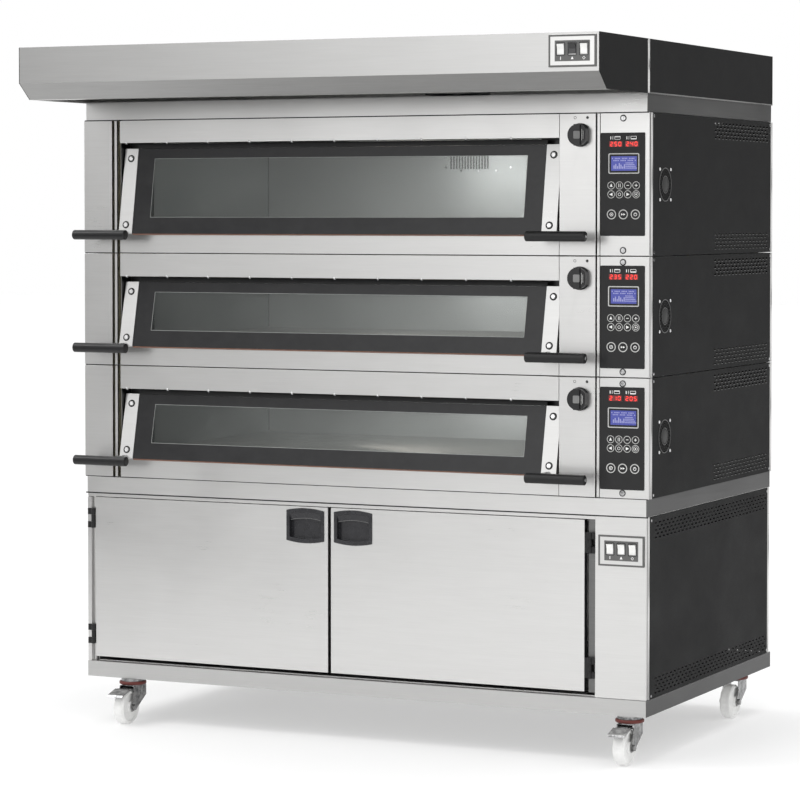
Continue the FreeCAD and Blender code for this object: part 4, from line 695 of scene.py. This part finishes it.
def key_symbols(bm, keys):
    """Plain pictograms inside the rings of the eleven keys."""
    slab(bm, keys[0], triangle(5, math.pi / 2), *PRINT)
    for x in (-2.2, 2.2):
        stroke(bm, keys[1], (x, -5), (x, 5), 1.4, *PRINT)
    stroke(bm, keys[2], (-3.6, 0), (3.6, 0), 1.6, *PRINT)
    for start, end in (((-4, 0), (4, 0)), ((0, 0.8), (0, 4)), ((0, -4), (0, -0.8))):
        stroke(bm, keys[3], start, end, 1.6, *PRINT)
    slab(bm, keys[4], triangle(5.5, math.pi), *PRINT)
    ring(bm, keys[5], 4.4, 1.1, *PRINT, 24)
    slab(bm, keys[6], triangle(5.5, 0), *PRINT)
    for key, radius, width, dot in ((keys[7], 6.4, 1.0, 2.2), (keys[8], 5.2, 1.5, 1.6)):
        ring(bm, key, radius, width, *PRINT, 24)
        slab(bm, key, round_loop(dot, 16), *PRINT)
    for x in (-3.4, 3.0):
        slab(bm, keys[9].moved(x, 0), triangle(3.6, 0), *PRINT)
    ring(bm, keys[10], 4.8, 1.4, *PRINT, 24)
    stroke(bm, keys[10], (0, 1), (0, 3.2), 1.5, *PRINT)


def number_signs(bm, panel):
    """A thermometer and an oven over each number, one with a bar above and one with a bar below."""
    for middle in NUMBER_MIDDLES:
        place = panel.moved(middle, PANEL_TOP - 14)
        stroke(bm, place, (-14, -4), (-14, 4), 2.4, *PRINT)
        stroke(bm, place, (-8, -4.5), (-8, 4.5), 1.2, *PRINT)
        border(bm, place.moved(5.5, 0), rounded_loop(17, 9, 1.5, 3), rounded_loop(14.6, 6.6, 0.8, 3), *PRINT)
    for middle, height in zip(NUMBER_MIDDLES, (-11, -16.6)):
        bar = panel.moved(middle + 5.5, PANEL_TOP + height)
        stroke(bm, bar, (-7, 0), (7, 0), 2.4, PRINT[0], PRINT[1] + 0.02)


def key_field(deck, panel):
    """Rings and symbols of the touch keys, and the signs over the numbers."""
    keys = [panel.moved(x, PANEL_TOP + z) for x, z in KEYS + MODE_KEYS]
    rings = bmesh.new()
    for index, place in enumerate(keys):
        radius, width = (10.6, 1.5) if index < len(KEYS) else (13.3, 2.5)
        ring(rings, place, radius, width, 0.05, 0.35, 40)
    piece(deck + "_key_rings", rings, "oven", PRINT_AND_HIGHLIGHT_GREY)
    symbols = bmesh.new()
    key_symbols(symbols, keys)
    number_signs(symbols, panel)
    piece(deck + "_key_symbols", symbols, "oven", PRINT_WHITE)


def control_fronts():
    """The displays and keys of the three decks. The three control plates are one node, stacked by height."""
    low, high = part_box("control_panels")
    for deck in DECKS:
        deck_low, deck_high = DECK_BOX[deck]
        panel = Plane(((low.x + high.x) / 2, low.y, (deck_low.z + deck_high.z) / 2))
        number_display(deck, panel)
        picture_display(deck, panel)
        key_field(deck, panel)


# ---- knobs --------------------------------------------------------------------------------------
def joint_place(name):
    return Vector(next(j for j in frame["joints"] if j["name"] == name)["pos_m"])


def knob_marks(deck):
    """Inlay and two painted highlight lines on a vent knob, and an open and a filled dot for open and closed.
    """
    centre = joint_place(deck + "_vent_knob_turn")
    face = Plane((centre.x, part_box(deck + "_vent_knob")[0].y, centre.z))
    inlay = bmesh.new()
    slab(inlay, face, rounded_loop(19, 21, 3), 0.02, 0.5, 0.3)
    piece(deck + "_knob_inlay", inlay, deck + "_knob", MARK_AND_HIGHLIGHT_GREY)
    # painted highlights: two bright lines for the light on the knob's right side
    glints = bmesh.new()
    for x, reach in ((15, 15), (19, 11)):
        stroke(glints, face, (x, -reach), (x, reach), 1.1, 0.02, 0.25)
    piece(deck + "_knob_lines", glints, deck + "_knob", PRINT_AND_HIGHLIGHT_GREY)
    low, high = DECK_BOX[deck]
    sheet = Plane((centre.x, low.y, high.z - 12 * MM))
    marks = bmesh.new()
    ring(marks, sheet.moved(-16, 0), 4, 1.1, 0.02, 0.2, 24)
    slab(marks, sheet.moved(20, 0), round_loop(4, 24), 0.02, 0.2)
    piece(deck + "_vent_marks", marks, "oven", PRINT_AND_SHADOW_DARK)


# ---- rocker switch plates -----------------------------------------------------------------------
ROCKER_PITCH = 32.5
ROCKER_RISE = 5               # rockers above the plate's middle
ROCKER_PROUD = 5
LABEL_HALF_WIDTH, LABEL_HALF_HEIGHT = 49, 27
LABEL_HOLE_HALF_WIDTH, LABEL_HOLE_HALF_HEIGHT = 10.8, 14.8
SYMBOL_HEIGHT = -19


def switch_label(bm, plate):
    """Dark label with an opening round each rocker, as strips."""
    low, high = ROCKER_RISE - LABEL_HOLE_HALF_HEIGHT, ROCKER_RISE + LABEL_HOLE_HALF_HEIGHT
    edges = [-LABEL_HALF_WIDTH]
    for middle in (-ROCKER_PITCH, 0, ROCKER_PITCH):
        edges += [middle - LABEL_HOLE_HALF_WIDTH, middle + LABEL_HOLE_HALF_WIDTH]
    edges.append(LABEL_HALF_WIDTH)
    strips = [(-LABEL_HALF_WIDTH, LABEL_HALF_WIDTH, high, LABEL_HALF_HEIGHT)]
    strips.append((-LABEL_HALF_WIDTH, LABEL_HALF_WIDTH, -LABEL_HALF_HEIGHT, low))
    strips += [(x0, x1, low, high) for x0, x1 in zip(edges[::2], edges[1::2])]
    for strip in strips:
        slab(bm, plate, box_loop(*strip), 0.02, 0.4)


def switch_trim(place):
    """Gasket, label, bezels and symbols round one group of rockers."""
    low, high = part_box(place + "_switch_middle")
    middle = Vector(((low.x + high.x) / 2, low.y + ROCKER_PROUD * MM, (low.z + high.z) / 2))
    plate = Plane(middle).moved(0, -ROCKER_RISE)
    gasket = bmesh.new()
    border(gasket, plate, rounded_loop(133, 84, 1.5), rounded_loop(123, 74, 1), -2.5, 0.5)
    piece(place + "_switch_gasket", gasket, "oven", LABEL_GREY)
    label = bmesh.new()
    switch_label(label, plate)
    piece(place + "_switch_label", label, "oven", LABEL_GREY)
    bezels = bmesh.new()
    for step in (-1, 0, 1):
        spot = plate.moved(step * ROCKER_PITCH, ROCKER_RISE)
        border(bezels, spot, rounded_loop(25, 34.8, 2), rounded_loop(20.9, 31.6, 1), -1.5, 1.3)
    piece(place + "_switch_bezels", bezels, "oven", FINISHES["rocker_black"])
    symbols = bmesh.new()
    left, centre, right = (plate.moved(step * ROCKER_PITCH, SYMBOL_HEIGHT) for step in (-1, 0, 1))
    stroke(symbols, left, (0, -4), (0, 4), 2, 0.4, 0.6)
    slab(symbols, centre, triangle(4.5, math.pi / 2), 0.4, 0.6)
    ring(symbols, right, 4.5, 1.5, 0.4, 0.6, 4)
    piece(place + "_switch_symbols", symbols, "oven", PRINT_WHITE)


# ---- side trims ---------------------------------------------------------------------------------
PANEL_EDGES = ((14, 28.5), (1012.5, 1027.5))     # before and behind the side panels, from the oven front
CABINET_EDGE_Z = (0.176, 0.671)                  # metres
HOOD_HEIGHT = 146
TOP_BAND_HEIGHT = 50
CASTOR_BASE_INSET = 1         # cabinet side inside the base frame's side


def cabinet_side():
    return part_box("base_frame")[1].x - CASTOR_BASE_INSET * MM


def half_round(bm, x, side, reach, heights, rise):
    """Upright bowed strip on a side face, over a reach in millimetres behind the oven front."""
    steps = 8
    start, end = reach
    middle, half = (start + end) / 2, (end - start) / 2
    profile = []
    for k in range(steps + 1):
        turn = math.pi * k / steps
        profile.append((x + side * rise * math.sin(turn) * MM, FRONT + (middle - half * math.cos(turn)) * MM))
    capped(bm, [[bm.verts.new((px, py, z)) for px, py in profile] for z in heights])


def corner_trims():
    """Bright folded edges beside the side panels and on the hood's ends, and a black strip of painted shade
    in the gap down each side.
    """
    deck_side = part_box("deck_frames")[1].x
    hood_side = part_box("hood_canopy")[1].x
    stand_side = cabinet_side()
    hood_edge = (BAND_TOP + 1 * MM, BAND_TOP + (HOOD_HEIGHT - 1) * MM)
    decks = (DECK_BOX["lower"][0].z, BAND_TOP - TOP_BAND_HEIGHT * MM)
    for side, name in ((1, "right"), (-1, "left")):
        trims = bmesh.new()
        rows = [(deck_side, (DECK_BOX[deck][0].z, DECK_BOX[deck][1].z)) for deck in DECKS]
        for x, heights in rows + [(stand_side, CABINET_EDGE_Z)]:
            for reach in PANEL_EDGES:
                half_round(trims, side * (x - 0.2 * MM), side, reach, heights, 1.9)
        half_round(trims, side * hood_side, side, (-8, 7), hood_edge, 1.6)
        piece(name + "_corner_trims", trims, "oven", FINISHES["stainless"], smooth=True)
        gap_shade = bmesh.new()
        for x, (z0, z1) in ((deck_side, decks), (stand_side, CABINET_EDGE_Z)):
            plane = Plane((side * x, FRONT + 8.5 * MM, (z0 + z1) / 2), Y_AXIS * side, Z_AXIS)
            slab(gap_shade, plane, rounded_loop(7, (z1 - z0) / MM, 0.5, 2), -0.3, 0.35)
        piece(name + "_corner_gaps", gap_shade, "oven", FINISHES["handle_black"])


def fan_trims():
    """Pressed rings, four screws and the middle disc of each fan grille."""
    side_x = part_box("right_side_panels")[1].x
    for deck in DECKS:
        centre = joint_place(deck + "_fan_spin")
        plane = Plane((side_x, centre.y, centre.z), Y_AXIS, Z_AXIS)
        trim = bmesh.new()
        wire_ring(trim, plane, 45, 2.2, 0.3, 56)
        wire_ring(trim, plane, 23, 1.8, 0.3, 40)
        piece(deck + "_fan_trim", trim, "oven", FAN_TRIM, smooth=True)
        screws = bmesh.new()
        for a, b in ((-1, -1), (-1, 1), (1, -1), (1, 1)):
            dome(screws, plane.moved(a * 41.25, b * 41.25), 4.6, 2.6, steps=20)
        piece(deck + "_fan_screws", screws, "oven", CUT_EDGE, smooth=True)
        disc = bmesh.new()
        dome(disc, plane, 20, 1.4, steps=40)
        piece(deck + "_fan_disc", disc, "oven", FINISHES["fan_black"], smooth=True)


def hood_end_strips():
    """Steel edge under each end of the hood."""
    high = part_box("hood_canopy")[1]
    strips = bmesh.new()
    for side in (-1, 1):
        plane = Plane((side * high.x, (FRONT + high.y) / 2, BAND_TOP + 1.6 * MM), Y_AXIS * side, Z_AXIS)
        slab(strips, plane, rounded_loop((high.y - FRONT) / MM - 2, 3, 0.5, 2), 0.05, 0.7, 0.2)
    piece("hood_end_strips", strips, "oven", FINISHES["stainless"])


def column_strips():
    """The recessed strip beside the control column."""
    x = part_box("control_panels")[0].x - 7.6 * MM
    strips = bmesh.new()
    for low, high in DECK_BOX.values():
        plane = Plane((x, FRONT + 3 * MM, (low.z + high.z) / 2))
        slab(strips, plane, rounded_loop(7.4, (high.z - low.z) / MM, 0.5, 2), -3, 0, 0.5)
    piece("column_edge_strips", strips, "oven", FINISHES["stainless"])


def door_jamb():
    """Upright between the right cabinet door and the service column, its steel darkened with painted shade.
    """
    low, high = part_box("cabinet_right_door")
    left, right = -15, 8      # from the door's edge
    edge = Plane((high.x, FRONT + 14 * MM, (low.z + high.z) / 2))
    plane = edge.moved((left + right) / 2, 0)
    jamb = bmesh.new()
    slab(jamb, plane, rounded_loop(right - left, (high.z - low.z) / MM + 8, 1, 2), -2, 0, 0.6)
    piece("right_door_jamb", jamb, "oven", SHADED_STEEL)


def seam_strips():
    """Black strips in the joints between the bands, the decks and the cabinet: partly gaskets, partly painted
    shade in the gaps.
    """
    width = 2 * (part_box("control_panels")[1].x / MM + 11)
    seams = [(box[0].z, 2.2) for box in DECK_BOX.values()]
    seams += [(DECK_BOX["upper"][1].z, 3.0), (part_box("cabinet_shell")[1].z, 3.6)]
    strips = bmesh.new()
    for z, height in seams:
        slab(strips, Plane((0, FRONT, z)), rounded_loop(width, height, 0.5, 2), -0.8, 0.2)
    piece("seam_gaskets", strips, "oven", FINISHES["handle_black"])


# vent slots, as in the CAD, and the fields they fill, from the oven front
SLOT, SLOT_PITCH, SLOT_ROW, SLOT_ROWS = 15, 30, 10, 5
DECK_VENTS = (520, 993)
CABINET_VENTS = (66, 998)


def vent_field(bm, x, reach, middle):
    """Painted highlights on the lower lips of staggered slots."""
    start, end = reach
    for row in range(SLOT_ROWS):
        plane = Plane((x, FRONT, middle), Y_AXIS, Z_AXIS).moved(0, (row - SLOT_ROWS // 2) * SLOT_ROW - 2.6)
        y = start + SLOT / 2 + (SLOT_PITCH / 2 if row % 2 else 0)
        while y + SLOT / 2 <= end:
            slab(bm, plane.moved(y, 0), box_loop(-5.5, 5.5, -0.6, 0.6), -0.2, 0.35)
            y += SLOT_PITCH


def vent_lips():
    """Painted highlights along the lower lips of the punched cooling slots."""
    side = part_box("right_side_panels")[1].x
    lips = bmesh.new()
    for low, high in DECK_BOX.values():
        for middle in (high.z - 37 * MM, low.z + 36 * MM):
            vent_field(lips, side, DECK_VENTS, middle)
    for middle in (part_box("cabinet_shell")[1].z - 40 * MM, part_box("base_frame")[1].z + 33 * MM):
        vent_field(lips, cabinet_side(), CABINET_VENTS, middle)
    piece("vent_lips", lips, "oven", VENT_GLINT)


# ---- small parts of the front -------------------------------------------------------------------
OPENING_WIDTH = 1387
RIVETS, RIVET_START, RIVET_PITCH = 10, 21, 135.8
PANEL_SCREW = 15              # from the deck's upper and lower edge
PULL_HEIGHT = 605


def fascia_rivets():
    """Bright rivet heads along the lower edge of each upper fascia."""
    for deck in DECKS:
        plane, length, _ = glass_plane(deck)
        edge = plane.at((0, length)).z + (DOOR_TOP_GAP + 1.2) * MM
        row = Plane((plane.middle.x, FRONT, edge))
        rivets = bmesh.new()
        for step in range(RIVETS):
            place = row.moved(RIVET_START + step * RIVET_PITCH - OPENING_WIDTH / 2, 0)
            dome(rivets, place, 3, 1.6, steps=16, rings=3)
        piece(deck + "_fascia_rivets", rivets, "oven", CUT_EDGE, smooth=True)


def screw_shadows():
    """Black rings of painted shadow round the slotted screws of the control column."""
    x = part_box("control_panels")[0].x + 65 * MM
    rims = bmesh.new()
    for low, high in DECK_BOX.values():
        for z in (low.z + PANEL_SCREW * MM, high.z - PANEL_SCREW * MM):
            ring(rims, Plane((x, low.y, z)), 9.4, 2.4, 0.02, 0.25)
    piece("control_screw_rims", rims, "oven", FINISHES["handle_black"])


def pull_lips():
    """Sloping lip over the upper part of each recessed pull, with a painted highlight along its lower edge.
    """
    half, steps = 49.8, 24
    for side in ("left", "right"):
        low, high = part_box(side + "_door_pull")
        pull = Plane(((low.x + high.x) / 2, low.y + 2.5 * MM, PULL_HEIGHT * MM))
        lip = bmesh.new()
        edge = bmesh.new()
        lip_sections = []
        highlight_sections = []
        for k in range(steps + 1):
            share = 2 * k / steps - 1
            arch = 5 * (1 - share * share)
            upper, lower = 32.8 + arch, 14 + arch * 1.2
            section = ((upper, 1.6), (lower, -5.5), (lower + 1.5, -8.0), (upper, -1.4))
            lip_sections.append([lip.verts.new(pull.at((share * half, z), out)) for z, out in section])
            # painted highlight: a light strip along the lip's lower edge
            section = [(lower + z, out) for z, out in ((1.9, -4.9), (0.1, -5.3), (0.5, -6.6), (2.2, -6.2))]
            highlight_sections.append([edge.verts.new(pull.at((share * half, z), out)) for z, out in section])
        capped(lip, lip_sections)
        capped(edge, highlight_sections)
        piece(side + "_pull_lip", lip, "cabinet_" + side, FINISHES["pull_black"])
        piece(side + "_pull_lip_edge", edge, "cabinet_" + side, MARK_AND_HIGHLIGHT_GREY)


# ---- castors ------------------------------------------------------------------------------------
SEAL_SECTION = [        # radius and height
    (30.5, -5.5), (37.0, -5.0), (39.5, -3.0), (39.5, 2.0), (37.5, 4.4), (34.4, 4.4), (34.4, 2.5), (30.5, 2.5),
]


def castor_seals():
    """Red dust seals round the swivel bearings."""
    for joint in frame["joints"]:
        if not joint["name"].endswith("_castor_swivel"):
            continue
        corner = joint["name"].replace("_castor_swivel", "")
        x, y, _ = joint["pos_m"]
        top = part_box(corner + "_castor_fork")[1].z
        seal = bmesh.new()
        revolved(seal, Plane((x, y, top - 1 * MM), X_AXIS, Y_AXIS), SEAL_SECTION, 48)
        piece(corner + "_castor_seal", seal, corner + "_castor", RED_SEAL, smooth=True)


# ---- studio -------------------------------------------------------------------------------------
def map_range(tree, source, start, end, low=0.0, high=1.0, smooth=False):
    remap = tree.nodes.new("ShaderNodeMapRange")
    remap.interpolation_type = "SMOOTHSTEP" if smooth else "LINEAR"
    remap.inputs["From Min"].default_value = start
    remap.inputs["From Max"].default_value = end
    remap.inputs["To Min"].default_value = low
    remap.inputs["To Max"].default_value = high
    tree.links.new(source, remap.inputs["Value"])
    return remap.outputs["Result"]


PANEL_PEAK = 2.8              # brightness of the panel in front, and the sideways directions it runs between
PANEL_RISE = (-0.59, -0.34)
PANEL_FALL = (-0.24, -0.08)
DARK = 0.02                   # brightness of the panel's left end and of the flag


def studio_world():
    """White surroundings, with a bright panel in front that is dark at its left, and a dark flag behind."""
    world = bpy.data.worlds.new("studio")
    bpy.context.scene.world = world
    world.use_nodes = True
    tree = world.node_tree
    background = tree.nodes["Background"]
    direction = tree.nodes.new("ShaderNodeTexCoord").outputs["Generated"]

    def lobe(aim, outer, inner):
        """1 inside an angle from a direction, 0 outside a wider one."""
        dot = tree.nodes.new("ShaderNodeVectorMath")
        dot.operation = "DOT_PRODUCT"
        dot.inputs[1].default_value = Vector(aim).normalized()
        tree.links.new(direction, dot.inputs[0])
        angles = (math.cos(math.radians(outer)), math.cos(math.radians(inner)))
        return map_range(tree, dot.outputs["Value"], *angles, smooth=True)

    def blend_to(base, factor, colour):
        """From one colour towards another. Each is a tuple or a socket."""
        mix = tree.nodes.new("ShaderNodeMix")
        mix.data_type = "RGBA"
        for name, source in (("A", base), ("B", colour)):
            if isinstance(source, tuple):
                mix.inputs[name].default_value = source
            else:
                tree.links.new(source, mix.inputs[name])
        tree.links.new(factor, mix.inputs["Factor"])
        return mix.outputs["Result"]

    split = tree.nodes.new("ShaderNodeSeparateXYZ")
    tree.links.new(direction, split.inputs[0])
    wall = tree.nodes.new("ShaderNodeMath")
    wall.operation = "MINIMUM"
    tree.links.new(map_range(tree, split.outputs["X"], *PANEL_RISE, DARK, PANEL_PEAK), wall.inputs[0])
    tree.links.new(map_range(tree, split.outputs["X"], *PANEL_FALL, PANEL_PEAK, 1.05), wall.inputs[1])
    colour = blend_to((1.0, 1.0, 1.0, 1), lobe((0, -1, 0), 80, 62), wall.outputs[0])
    colour = blend_to(colour, lobe((0.45, 0.89, 0), 18, 11), (DARK, DARK, DARK, 1))
    tree.links.new(colour, background.inputs["Color"])
    background.inputs["Strength"].default_value = 1.0


def softbox(name, place, aim, size, power):
    light = bpy.data.lights.new(name, "AREA")
    light.shape = "RECTANGLE"
    light.size, light.size_y = size
    light.energy = power
    lamp = bpy.data.objects.new(name, light)
    bpy.context.scene.collection.objects.link(lamp)
    lamp.location = place
    lamp.rotation_euler = (Vector(aim) - Vector(place)).to_track_quat("-Z", "Y").to_euler()


CHAMBER_POWER = (0.5, 0.5, 1.1)                          # watts, lower deck first
CHAMBER_LAMP = Vector((0.05, 0.22, -0.075))              # metres from its middle, oven front and ceiling
CHAMBER_AIM = Vector((0.42, 0.77, -0.07))
CHAMBER_LAMP_SIZE = (0.34, 0.08)


def chamber_lamps():
    """Lamp behind each door, aimed at the right half of the back wall."""
    for deck, power in zip(DECKS, CHAMBER_POWER):
        corner = Vector(chamber_marks(deck))
        softbox(deck + "_chamber_lamp", corner + CHAMBER_LAMP, corner + CHAMBER_AIM, CHAMBER_LAMP_SIZE, power)


FLOOR_REACH = 40.0
FLOOR_SHADE_X = (-2.8, -1.7)             # the floor gets darker to the left of the oven
FLOOR_SHADE_AHEAD = (1.5, 2.6)           # and ahead of it, along a slightly turned line
FLOOR_SHADE_TURN = 0.16
FLOOR_GLOW = 0.36


def studio_floor():
    """Pale floor that glows a little, with a dark patch far to the front left that the steel mirrors."""
    floor = bmesh.new()
    corners = box_loop(-FLOOR_REACH, FLOOR_REACH, -FLOOR_REACH, FLOOR_REACH)
    floor.faces.new([floor.verts.new((*p, 0)) for p in corners])
    mesh = bpy.data.meshes.new("floor")
    floor.to_mesh(mesh)
    floor.free()
    finish = Finish("floor_paint", (0.6, 0.6, 0.6), roughness=0.7, specular=0.1)
    patches = finish.noise((2.0, 2.0, 2.0), detail=4.0)
    finish.matt(patches, 0.62, 0.78)
    finish.shader.inputs["Emission Color"].default_value = (1, 1, 1, 1)
    place = finish.place()
    leftward = finish.spread(place["X"], 1.0, 0.0, *FLOOR_SHADE_X)
    sideways = finish.combine("MULTIPLY", place["X"], FLOOR_SHADE_TURN)
    forward = finish.spread(finish.combine("SUBTRACT", sideways, place["Y"]), 0.0, 1.0, *FLOOR_SHADE_AHEAD)
    shade = finish.combine("MULTIPLY", leftward, forward)
    finish.tint(shade, (0.6, 0.6, 0.6), (0.15, 0.15, 0.15))
    finish.link(finish.spread(shade, FLOOR_GLOW, 0.0, 0.0, 1.0), finish.shader.inputs["Emission Strength"])
    mesh.materials.append(finish.material)
    made = bpy.data.objects.new("floor", mesh)
    bpy.context.scene.collection.objects.link(made)


CAMERA_PLACE = (3.7971, -7.9602, 1.4874)
CAMERA_PITCH, CAMERA_TURN = 1.986, 25.6236               # degrees down, and to the left
CAMERA_LENS = 136.265                                    # millimetres


def studio_camera():
    data = bpy.data.cameras.new("camera")
    data.sensor_width = 36.0
    data.lens = CAMERA_LENS
    data.shift_y = -0.1
    data.clip_end = 100.0
    camera = bpy.data.objects.new("camera", data)
    bpy.context.scene.collection.objects.link(camera)
    camera.location = CAMERA_PLACE
    camera.rotation_euler = (math.radians(90 - CAMERA_PITCH), 0, math.radians(CAMERA_TURN))
    bpy.context.scene.camera = camera


# ---- the whole scene ----------------------------------------------------------------------------
SHEET_METAL = (
    "hood_canopy", "frame_bands", "cabinet_shell", "cabinet_left_door", "cabinet_right_door", "base_frame",
    "left_door_pull", "right_door_pull",
)
dress_nodes()
paint_hood()
paint_sides()
paint_openings()
paint_hinges()
paint_arms()
for deck in DECKS:
    ease_edges(deck + "_front_panels")
    ease_edges(deck + "_door_frame", 0.6)
    door_trim(deck)
    chamber_details(deck)
    knob_marks(deck)
for name in SHEET_METAL:
    ease_edges(name)
control_fronts()
for place in ("hood", "cabinet"):
    switch_trim(place)
corner_trims()
fan_trims()
hood_end_strips()
column_strips()
door_jamb()
seam_strips()
vent_lips()
fascia_rivets()
screw_shadows()
pull_lips()
castor_seals()

studio_world()
softbox("key", (-5.0, -3.0, 6.5), (0, 0, 0.8), (2.8, 2.8), 160)
softbox("top", (0.5, 0.5, 6.0), (0, 0, 0), (4.0, 4.0), 120)
chamber_lamps()
studio_floor()
studio_camera()
scene = bpy.context.scene
scene.view_settings.view_transform = "Standard"
scene.view_settings.look = "None"
